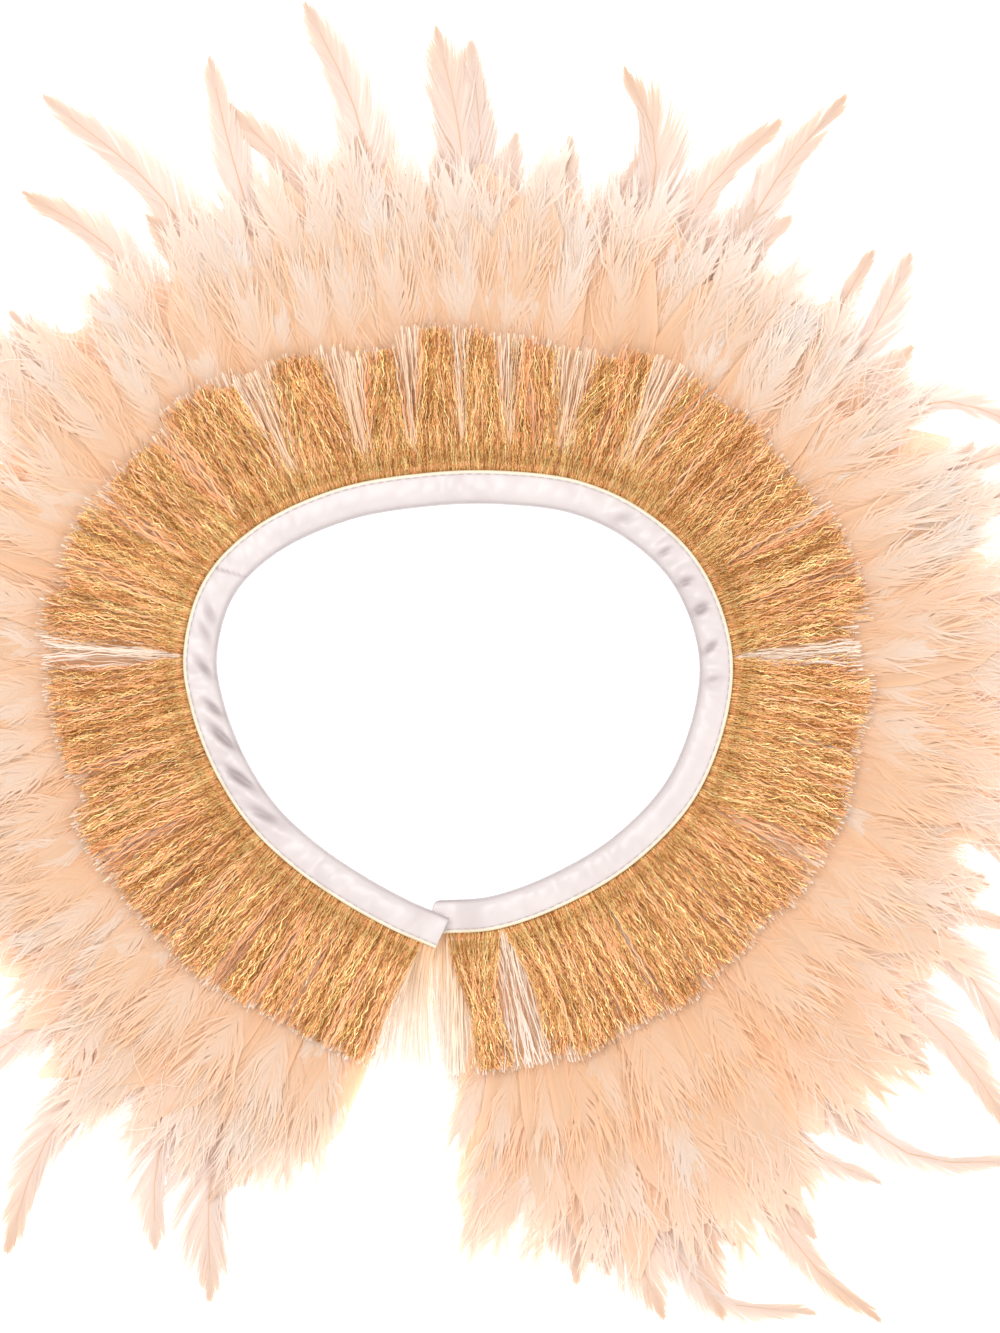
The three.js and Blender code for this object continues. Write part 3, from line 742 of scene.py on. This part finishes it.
def blade_barbs(guides, spines, widths, spacing):
    """Barbs of tapered feathers: loose near the root, close and split into narrow clumps further out."""
    run = np.linalg.norm(np.diff(spines.path, axis=1), axis=-1).sum(1)
    per = (run * 0.8 / spacing).astype(int)
    which = np.repeat(np.arange(len(widths)), per)
    n = len(which)
    step = np.concatenate([np.arange(p) / p for p in per])
    t = 0.2 + 0.795 * step
    side = np.where(np.arange(n) % 2, 1.0, -1.0)
    half = widths[which] / 2 * np.interp(t, BLADE_ALONG, BLADE_SHARE)
    tight = ease((t - 0.35) / 0.25)
    clump = np.floor(t * 26 + which * 3.1 + (side > 0) * 0.5).astype(int)
    split = SPLITS[(clump * 37 + which * 11) % len(SPLITS)]
    spray = rng.normal(0, 1, n) * (8 - 6 * tight)
    angle = 34 - 12 * t - 12 * ease((t - 0.8) / 0.2) + split * 3.2 + spray
    angle = np.radians(np.clip(angle, 5, 70))
    size = np.clip(half / np.sin(np.maximum(angle, 0.25)), 2, 30)
    size = size * np.clip(1 + split * 0.05 + rng.normal(0, 0.05, n), 0.6, 1.3)
    size *= 1 + 0.35 * (1 - tight) * rng.random(n)
    size = np.minimum(size, TIP_TAPER * (1 - t) * run[which] + 1.6 * rng.random(n) + 0.4)
    rise = np.stack([rng.normal(0.03, 0.03, n), -0.08 - 0.05 * rng.random(n)], 1)
    curl = np.full(n, 0.28)
    wave = 0.02 + 0.08 * (1 - tight)
    stops = np.array([0, 0.5, 1.0])
    path = barb_paths(spines, which, t, side, size, angle, curl, rise, wave, stops)
    path = keep_over_floor(path)
    tone = rng.uniform(0.0, 0.16, len(widths))[which]
    along = np.clip(t[:, None] - tone[:, None] + 0.05 * stops, 0.01, 0.99)
    shade = np.clip(0.14 + 0.5 * rng.random(len(widths))[which] + 0.3 * rng.random(n), 0.13, 0.97)
    width = rng.uniform(0.8, 1.15, n)[:, None] * np.array([1.0, 0.95, 0.2])
    guides.add(path, along, shade, width, rng.normal(0, 0.1, n))


# Thread fringes

def lock_of(s, row, drawn):
    """The middle of each thread's lock, how far the thread is drawn to it, and how the lock is cut."""
    first, last = GOLD_ENDS
    locks = np.random.default_rng(LOCK_SEED)
    drift, cut, hold = locks.normal(0, 1, (3, LOCKS))
    edges = np.append(0, np.cumsum(locks.uniform(*LOCK_WIDTH, LOCKS)))
    edges = first + (last - first) * edges / edges[-1]
    number = np.clip(np.searchsorted(edges, s) - 1, 0, LOCKS - 1)
    left, right = edges[number], edges[number + 1]
    middle = (left + right) / 2 + 0.15 * drift[number] * (right - left)
    pull = np.interp(s / LENGTH, PULL_ALONG, PULL) * np.clip(1 + 0.35 * hold[number], 0.4, 1.5)
    in_first = s < FIRST_LOCK["until"]
    middle = np.where(in_first, FIRST_LOCK["toward"], middle)
    pull = np.where(in_first, FIRST_LOCK["pull"] * (row == "gold"), drawn * pull)
    return middle, pull, cut[number]


def part_threads(row, s, side, t):
    """Draws gold away from each parting and pink into it, and tells how near pink is and how pale it is
    painted, partly its own tone and partly painted light against the gold's shade.
    """
    beside, paler = np.zeros((2, len(s)))
    for along, half, fan in PARTINGS:
        from_it = s - along * LENGTH
        if row == "gold":
            near = np.exp(-((from_it / (half * GOLD_YIELD)) ** 2))[:, None]
            spread = ease(1.25 * t - 0.25) if fan else np.sin(np.pi * 0.72 * t)
            side = side + np.sign(from_it)[:, None] * half * near * spread
        else:
            near = np.exp(-((from_it / (half * PINK_YIELD)) ** 2))
            beside = np.maximum(beside, near)
            paler = paler + (PALER_IN_FAN if fan else PARTING_PALER_AGAINST_SHADE) * near
            side = side - PINK_GATHER * (from_it * near)[:, None] * ease(2 * t)
    return side, beside[:, None], paler[:, None]


def fringe_threads(guides, row, count, reach, ragged, steps, crimp, twist, shares, climb, drawn):
    """Threads that hang outward from the tape in locks, crimped all the way."""
    s = rooted(GOLD_ENDS, count)
    s = s[(s > THIN_UNTIL) | (rng.random(count) < 0.5)]
    count = len(s)
    middle, pull, cut = lock_of(s, row, drawn)
    t = np.linspace(0, 1, steps)[None]
    far = reach + 1.5 * cut - ragged * np.abs(rng.normal(0, 1, count)) + 0.6
    out = THREAD_ROOT + (far[:, None] - THREAD_ROOT) * t
    side = s[:, None] + ((middle - s) * pull)[:, None] * ease(1.3 * t)
    side = side + rng.normal(0, 1.3, count)[:, None] * t
    side, beside, paler = part_threads(row, s, side, t)
    zig = np.where((np.arange(steps) + rng.integers(0, 2, count)[:, None]) % 2, 1.0, -1.0)
    side = side + zig * crimp * rng.uniform(0.1, 1.3, (count, steps)) * ease(t * 6)
    share = rng.uniform(*shares, count)[:, None] * (ease(t / climb) if climb else 1)
    share = share + rng.normal(0, 0.1, (count, steps)) + PINK_RISE * beside * ease(t * 3)
    path = spot(side, out, tuck(side, out, lie(row, out, share)))
    shade = np.clip(rng.beta(1.6, 1.5, count), 0.02, 0.97)
    width = rng.uniform(0.65, 1.3, count)[:, None] * np.ones(steps)
    roll = rng.uniform(-0.8, 0.8, count)[:, None]
    roll = roll + twist * (rng.normal(0, 1, count)[:, None] * t * 6.3 + zig * 0.5)
    along = t if row == "gold" else np.clip(0.2 + 0.4 * t + 0.5 * paler, 0.02, 0.98)
    guides.add(path, np.broadcast_to(along, (count, steps)), shade, width, roll)


def gap_threads(guides, count, roots, lean, reach, steps=9):
    """Pale threads that show where the two ends meet."""
    t = np.linspace(0, 1, steps)[None]
    x = rng.random(count) ** 0.85
    s = np.interp(x, [0, 1], roots)
    far = np.interp(x, [0, 0.5, 1], reach) + rng.normal(0, 2.4, count)
    out = GAP_ROOT + (far[:, None] - GAP_ROOT) * t
    slant = np.interp(x, [0, 1], lean) + rng.normal(0, 1.2, count)
    side = s[:, None] + slant[:, None] * t**1.4 + rng.normal(0, 0.2, (count, steps)) * t
    z = between(out, GAP_OUT, GAP_LIE, rng.random(count)[:, None])
    path = spot(side, out, tuck(side, out, z))
    shade = rng.uniform(0.25, 1.0, count)
    width = rng.uniform(0.6, 1.2, count)[:, None] * np.linspace(1, 0.55, steps)
    guides.add(path, np.broadcast_to(t, (count, steps)), shade, width, rng.normal(0, 0.5, count))


# Satin binding

def band_section():
    """The folded strip's section as shares, with how far it gathers, whether it is the rim and how much
    painted shade its fold takes.
    """
    half = BAND_WIDTH / 2
    inner = (-half + WALL + 0.2) / half
    return np.array([
        # out / half, height share, wall offset, gather, rim, painted fold shade
        (1.0, 0.0, 1.0, 0, 0, 0), (inner, 0.0, 1.0, 0, 0, 0), (inner, 0.9, -1.0, 0, 0, 0),
        (1.0, 0.9, -1.0, 0, 0.2, 0), (1.04, 0.9, -0.5, 0, 1, 0), (1.0, 0.92, 0.0, 0.1, 1, 0),
        (0.87, 0.93, 0, 0.4, 0.7, 0), (0.8, 0.925, 0, 0.7, 0, 0.5), (0.72, 0.945, 0, 0.9, 0, 0),
        (0.3, 0.99, 0, 1, 0, 0), (-0.1, 1.0, 0, 1, 0, 0), (-0.5, 0.97, 0, 1, 0, 0),
        (-0.8, 0.87, 0, 0.7, 0, 0.05), (-0.94, 0.72, 0, 0.3, 0, 1), (-1.0, 0.5, 0, 0, 0, 1),
        (-1.0, 0.3, 0, 0, 0, 1), (-0.86, 0.0, 0, 0, 0, 1), (1.0, 0.0, 0, 0, 0, 0),
    ])


def from_dents(s, out):
    """For each dent: distance along from its slanted line, distance across squared, width and depth."""
    for along, middle, slant, width, depth in DENTS:
        yield s - along * LENGTH - slant * (out - middle), ((out - middle) / DENT_REACH) ** 2, width, depth


def dents(s, out):
    """Depth of the single dents."""
    fall = 0
    for along, across, width, depth in from_dents(s, out):
        fall = fall + depth * np.exp(-(across + (along / width) ** 2))
    return fall


def satin_crinkle(s, out):
    """Rise of the satin: broad gathers, fine creases where it is drawn up most, and dents with a lip."""
    rise = np.zeros(np.broadcast(s, out).shape)
    drawn = np.zeros_like(rise) + LEAST_DRAWN
    for along, spread, height in GATHERS:
        from_it = s - along * LENGTH
        near = height * np.exp(-((from_it / spread) ** 2))
        rise += near * (0.5 + 0.5 * np.cos(2 * np.pi * from_it / GATHER_PITCH))
        drawn += near
    for pitch, tilt, phase, depth in CREASES:
        wander = 1.8 * np.sin(s / 9.1 + phase * 3) + 1.1 * np.sin(s / 5.3 + phase)
        wave = np.sin(2 * np.pi * (s + tilt * out + wander) / pitch + phase)
        rise -= depth * drawn * (0.5 + 0.5 * wave) ** 2
    for along, across, width, depth in from_dents(s, out):
        rise += DENT_LIP * depth * np.exp(-across) * np.exp(-(((along - DENT_LIP_FROM * width) / width) ** 2))
    return rise - dents(s, out)


def satin_binding(finish):
    """The folded strip swept round the neck, puckered on top, with masks for its rim and for the shade
    painted into its fold, dents and join.
    """
    stations = np.unique(np.concatenate([
        np.linspace(BAND_START, LENGTH, 680),
        np.linspace(BAND_START, 14, 40),
        np.linspace(LENGTH - 10, LENGTH, 24),
    ]))
    section = band_section()
    for _ in range(2):  # corners cut twice, so the fold is round
        ahead = np.roll(section, -1, axis=0)
        section = np.stack([0.75 * section + 0.25 * ahead, 0.25 * section + 0.75 * ahead], 1).reshape(-1, 6)
    out, up, wall, gather, rim, painted_fold_shade = section.T[:, None]
    s = stations[:, None]
    corner_cut = CORNER_ROUND * (1 - np.sqrt(1 - np.clip(1 - (s - BAND_START) / CORNER_ROUND, 0, 1) ** 2))
    out = np.maximum(out * BAND_WIDTH / 2, -BAND_WIDTH / 2 + corner_cut)
    z = up * band_height(s) + wall * WALL + satin_crinkle(s, out) * gather
    join = s - JOIN_ALONG * LENGTH - JOIN_SLANT * out
    z = z - JOIN_DEPTH * gather * np.exp(-((join / JOIN_WIDTH) ** 2))
    z = z + LIP_HEIGHT * gather * np.exp(-(((join - LIP_FROM) / LIP_WIDTH) ** 2))
    places = metres(spot(s, out, z))
    rings, around = places.shape[:2]
    index = np.arange(rings * around).reshape(rings, around)
    a, b = index[:-1], index[1:]
    quads = np.stack([a, np.roll(a, -1, 1), np.roll(b, -1, 1), b], -1).reshape(-1, 4)
    faces = quads.tolist() + [index[0, ::-1].tolist(), index[-1].tolist()]
    mesh = bpy.data.meshes.new("satin_band")
    mesh.from_pydata(places.reshape(-1, 3).tolist(), [], faces)
    store(mesh, "rim", np.broadcast_to(rim, (rings, around)))
    # Painted shade for the satin's colour: the inner fold, the dents and the slanted join.
    seam = JOIN_SHADE * gather * np.exp(-((join / JOIN_SHADE_WIDTH) ** 2))
    store(mesh, "painted_shade", np.clip(painted_fold_shade + DENT_SHADE * dents(s, out) * gather + seam, 0, 1))
    corner = np.empty(len(mesh.loops), np.int32)
    mesh.loops.foreach_get("vertex_index", corner)
    u = np.broadcast_to(s * MM, (rings, around)).ravel()[corner]
    v = np.broadcast_to(np.arange(around)[None] / around * CLOTH_ROUND, (rings, around)).ravel()[corner]
    mesh.uv_layers.new(name="cloth").data.foreach_set("uv", np.stack([u, v], 1).astype(np.float32).ravel())
    mesh.polygons.foreach_set("use_smooth", np.ones(len(mesh.polygons), bool))
    mesh.materials.append(finish)
    mesh.update()
    return placed("satin_band", mesh)


def stitch_tree():
    """A row of small stitches along a seam."""
    tree, start, end = new_tree(
        "stitches along a seam", "GeometryNodeTree",
        dict(Seam="Geometry", Pitch="Float", Length="Float", Thickness="Float", Finish="Material"),
        dict(Stitches="Geometry"),
    )
    link = tree.links.new
    seam = node(tree, "GeometryNodeMeshToCurve")
    points = node(tree, "GeometryNodeCurveToPoints", mode="LENGTH")
    chain(tree, start.outputs["Seam"], seam, points)
    link(start.outputs["Pitch"], points.inputs["Length"])
    stitch = settle(node(tree, "GeometryNodeMeshUVSphere"), {"Segments": 6, "Rings": 5, "Radius": 0.5})
    size = node(tree, "ShaderNodeCombineXYZ")
    for axis, measure in (("X", "Thickness"), ("Y", "Thickness"), ("Z", "Length")):
        link(start.outputs[measure], size.inputs[axis])
    along = node(tree, "FunctionNodeAlignRotationToVector", axis="Z")
    link(points.outputs["Tangent"], along.inputs["Vector"])
    copies = node(tree, "GeometryNodeInstanceOnPoints")
    link(stitch.outputs["Mesh"], copies.inputs["Instance"])
    link(along.outputs[0], copies.inputs["Rotation"])
    link(size.outputs[0], copies.inputs["Scale"])
    whole = node(tree, "GeometryNodeRealizeInstances")
    smooth = node(tree, "GeometryNodeSetShadeSmooth")
    finish = node(tree, "GeometryNodeSetMaterial")
    link(start.outputs["Finish"], finish.inputs["Material"])
    chain(tree, points.outputs["Points"], copies, whole, smooth, finish, end)
    return tree


def seam_line():
    s = np.linspace(SEAM_END, LENGTH - SEAM_END, 900)
    out = np.full_like(s, SEAM_OUT * BAND_WIDTH / 2)
    z = SEAM_UP * band_height(s) + satin_crinkle(s, out) * SEAM_GATHER + CLEAR
    mesh = bpy.data.meshes.new("seam guide")
    edges = np.stack([np.arange(len(s) - 1), np.arange(1, len(s))], 1)
    mesh.from_pydata(metres(spot(s, out, z)).tolist(), edges.tolist(), [])
    return mesh


# Colours along a strand, or from shade to shade for the gold and peach threads

PEACH = [
    (0.0, (0.99, 0.71, 0.48)), (0.3, (0.99, 0.76, 0.57)), (0.6, (0.99, 0.83, 0.70)),
    (0.85, (0.99, 0.89, 0.81)), (1.0, (0.99, 0.91, 0.86)),
]
PALE = [
    (0.0, (0.97, 0.76, 0.58)), (0.3, (0.95, 0.80, 0.69)), (0.55, (0.93, 0.80, 0.73)),
    (0.8, (0.91, 0.75, 0.65)), (1.0, (0.88, 0.65, 0.49)),
]
# Gold: an orange tone with dark and pale flecks, painted shade and painted glints along the crimps.
GOLD_TONE_AND_GLINTS = [
    (0.39, (0.36, 0.11, 0.02)), (0.45, (1.0, 0.41, 0.11)),
    (0.53, (1.0, 0.545, 0.15)), (0.6, (1.0, 0.88, 0.42)),
]
ROSE = [(0.0, (0.93, 0.40, 0.16)), (0.5, (0.97, 0.50, 0.24)), (1.0, (0.99, 0.61, 0.37))]
BLUSH = [
    (0.0, (1.0, 0.71, 0.46)), (0.3, (1.0, 0.80, 0.61)),
    (0.5, (1.0, 0.86, 0.72)), (1.0, (0.99, 0.92, 0.86)),
]
FLUFF_QUILL = (0.96, 0.86, 0.76)

fluff_finish = plume_material("peach down", PEACH, FLUFF_QUILL, through=0.5)
sheet_finish = plume_material("soft vane", PEACH, FLUFF_QUILL, through=0.5, streaked=True)
blade_finish = plume_material("pale feather vane", PALE, (0.90, 0.72, 0.56), through=0.4)
gold_finish = thread_material("gold metal thread", GOLD_TONE_AND_GLINTS, roughness=0.42, metallic=0.4, speckle=0.75)
rose_finish = thread_material("peach silk thread", ROSE, roughness=0.5, metallic=0.0, speckle=0.3)
blush_finish = plume_material("pale pink thread", BLUSH, (0.97, 0.9, 0.86), through=0.3)
satin_finish = satin_material()
sewing_finish = grained_material(
    "sewing thread", 4000, (0.45, 0.36, 0.36), (0.60, 0.50, 0.49), metallic=0, roughness=0.6
)
snap_finish = grained_material(
    "plated snap", 900, (0.5, 0.5, 0.52), (0.66, 0.66, 0.68), metallic=1, roughness=0.3
)

# Binding and its stitches

band = satin_binding(satin_finish)
stitches = apply_tree(
    "band_stitches", seam_line(), stitch_tree(), Pitch=STITCH_PITCH * MM,
    Length=STITCH_LENGTH * MM, Thickness=STITCH_THICKNESS * MM, Finish=sewing_finish,
)
dress(band, "satin", "satin_binding")
dress(stitches, "satin")

# Feathers drawn as guides, from the lower plumes up, then the long feathers

low_fluff, top_fluff, wisps, vanes, sheets = (Guides() for _ in range(5))
# The last column deepens the lower plumes' peach as painted shade beneath the upper ones.
for guides, count, shares, reaches, per, length, vane, under_shade_tint in (
    (low_fluff, 124, (0.56, 0.72), (0.78, 1.0), 205, 24, 1.3, 0.1),
    (top_fluff, 160, (0.74, 0.94), (0.55, 0.88), 210, 21, 0.8, 0.0),
):
    spines, reach, s = fluff_spines(count, shares, reaches)
    fluff_barbs(guides, spines, reach, s, per, length, lift_share=0.03, rolled=0.07, under_shade_tint=under_shade_tint)
    fluff_barbs(wisps, spines, reach, s, WISPS_PER, length * 1.2, lift_share=0.06, rolled=0.5, under_shade_tint=under_shade_tint)
    quills(guides, spines, girth=0.5)
    soft_vanes(sheets, spines, rng.uniform(0.8, 1.25, count) * vane, stop=0.93)
loose_down(wisps, DOWN_COUNT, length=17, girth=1.3)
bed = fluff_spines(BED_COUNT, shares=(0.12, 0.36), reaches=(0.8, 1.02))[0]
soft_vanes(sheets, bed, rng.uniform(1.2, 1.6, BED_COUNT), stop=0.97)
spines, widths = blade_spines(BLADES + extra_blades(EXTRA_BLADES))
blade_barbs(vanes, spines, widths, spacing=0.30)
quills(vanes, spines, girth=1.6)

# Threads drawn as guides

gold_low, gold_top, rose, blush = (Guides() for _ in range(4))
for guides, row, count, past, ragged, steps, crimp, twist, shares, climb, drawn in (
    (gold_low, "gold", 2700, 0.6, 2.6, 17, 0.3, 1.0, (0.0, 0.55), 0, 0.85),
    (gold_top, "gold", 2600, 0.6, 3.4, 17, 0.36, 1.0, (0.4, 1.0), 0, 1.0),
    (rose, "gold", 2700, 1.0, 2.2, 12, 0.32, 0.5, (0.0, 0.9), 0.3, 0.3),
    (blush, "pink", 2300, 1.8, 1.4, 9, 0.2, 0.4, (0.0, 1.0), 0, 0.0),
):
    fringe_threads(
        guides, row, count, GOLD_REACH + past, ragged, steps, crimp, twist, shares, climb, drawn
    )
gap_threads(blush, 180, roots=(0.5, 14.0), lean=(-1.4, -3.0), reach=(32, 49, 54))
gap_threads(blush, 240, roots=(LENGTH - 15, LENGTH - 0.4), lean=(0.0, 15.5), reach=(44, 42, 37))

# Guides swept and dressed: ribbon width, change of shade across it, finish, slot and replaced node

NARROW, BROAD = 0.012, 0.35
for name, guides, width, across, finish, slot, replaced in (
    ("fluff_lower", low_fluff, 0.75, NARROW, fluff_finish, "feather_fluff", ["feather_fluff"]),
    ("fluff_upper", top_fluff, 0.7, NARROW, fluff_finish, "feather_fluff", []),
    ("long_feathers", vanes, 0.7, NARROW, blade_finish, "feather_blade", ["feather_blades"]),
    ("soft_vanes", sheets, 16, BROAD, sheet_finish, "feather_fluff", []),
    ("fluff_wisps", wisps, 0.22, NARROW, fluff_finish, "feather_fluff", []),
    ("gold_under", gold_low, 0.30, NARROW, gold_finish, "gold_thread", ["gold_fringe"]),
    ("gold_over", gold_top, 0.26, NARROW, gold_finish, "gold_thread", []),
    ("peach_threads", rose, 0.33, NARROW, rose_finish, "gold_thread", []),
    ("pink_threads", blush, 0.34, NARROW, blush_finish, "pink_thread", ["pink_fringe"]),
):
    piece = apply_tree(name, guides.mesh(name), RIBBONS, Width=width * MM, Across=across, Finish=finish)
    dress(piece, slot, *replaced)

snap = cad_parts["snap_fastener"]
snap.data.materials.clear()
snap.data.materials.append(snap_finish)

# Stage, in metres

FLOOR_HALF = 3
FRAME_TALL, SENSOR, HEIGHT = 0.3866, 36, 1.7
AIM = metres(np.array([12.5, 11.2, 8.0]))


def white_floor():
    mesh = bpy.data.meshes.new("floor")
    corners = [(x * FLOOR_HALF, y * FLOOR_HALF, 0) for x, y in ((-1, -1), (1, -1), (1, 1), (-1, 1))]
    mesh.from_pydata(corners, [], [(0, 1, 2, 3)])
    made, _, shader = fresh_material("white paper")
    settle(shader, {"Base Color": (0.92, 0.92, 0.92, 1), "Roughness": 0.9})
    settle(shader, {"Emission Color": (*WHITE, 1), "Emission Strength": 0.35})
    mesh.materials.append(made)
    return placed("floor", mesh)


def studio_sky(world):
    """A sky that is white overhead and grey towards the floor."""
    tree = world.node_tree
    places = node(tree, "ShaderNodeTexCoord")
    parts = node(tree, "ShaderNodeSeparateXYZ")
    tree.links.new(places.outputs["Generated"], parts.inputs[0])
    stops = [(0.0, (0.22, 0.21, 0.20)), (0.25, (0.5, 0.49, 0.48)), (0.7, WHITE)]
    background = settle(tree.nodes["Background"], {"Strength": 1.05})
    tree.links.new(ramp(tree, stops, parts.outputs["Z"]), background.inputs["Color"])


def soft_light(name, place, size, power):
    """A round lamp that faces the frame's origin."""
    data = bpy.data.lights.new(name, "AREA")
    data.shape, data.size, data.energy = "DISK", size, power
    made = placed(name, data)
    made.location = place
    aim = -np.asarray(place) / np.linalg.norm(place)
    made.rotation_euler = (math.acos(-aim[2]), 0, math.atan2(aim[1], aim[0]) - math.pi / 2)


def camera_above():
    data = bpy.data.cameras.new("above")
    data.sensor_fit, data.sensor_height = "VERTICAL", SENSOR
    data.lens = SENSOR * HEIGHT / FRAME_TALL
    made = placed("above", data)
    made.location = (AIM[0], AIM[1], AIM[2] + HEIGHT)
    return made


floor = white_floor()
scene = bpy.context.scene
scene.world = bpy.data.worlds.new("studio")
scene.world.use_nodes = True
studio_sky(scene.world)
soft_light("key", (-0.4, 0.45, 1.9), size=0.9, power=16)
soft_light("fill", (0.9, -0.5, 1.6), size=1.2, power=8)
scene.camera = camera_above()
scene.view_settings.view_transform = "Standard"

# Light paths: few bounces, the last ones taken from the sky
paths = scene.cycles
paths.max_bounces, paths.diffuse_bounces, paths.transmission_bounces, paths.glossy_bounces = 8, 4, 6, 2
paths.use_fast_gi, paths.fast_gi_method, paths.ao_bounces_render = True, "REPLACE", 3
scene.world.light_settings.distance, scene.world.light_settings.ao_factor = 0.002, 1.6
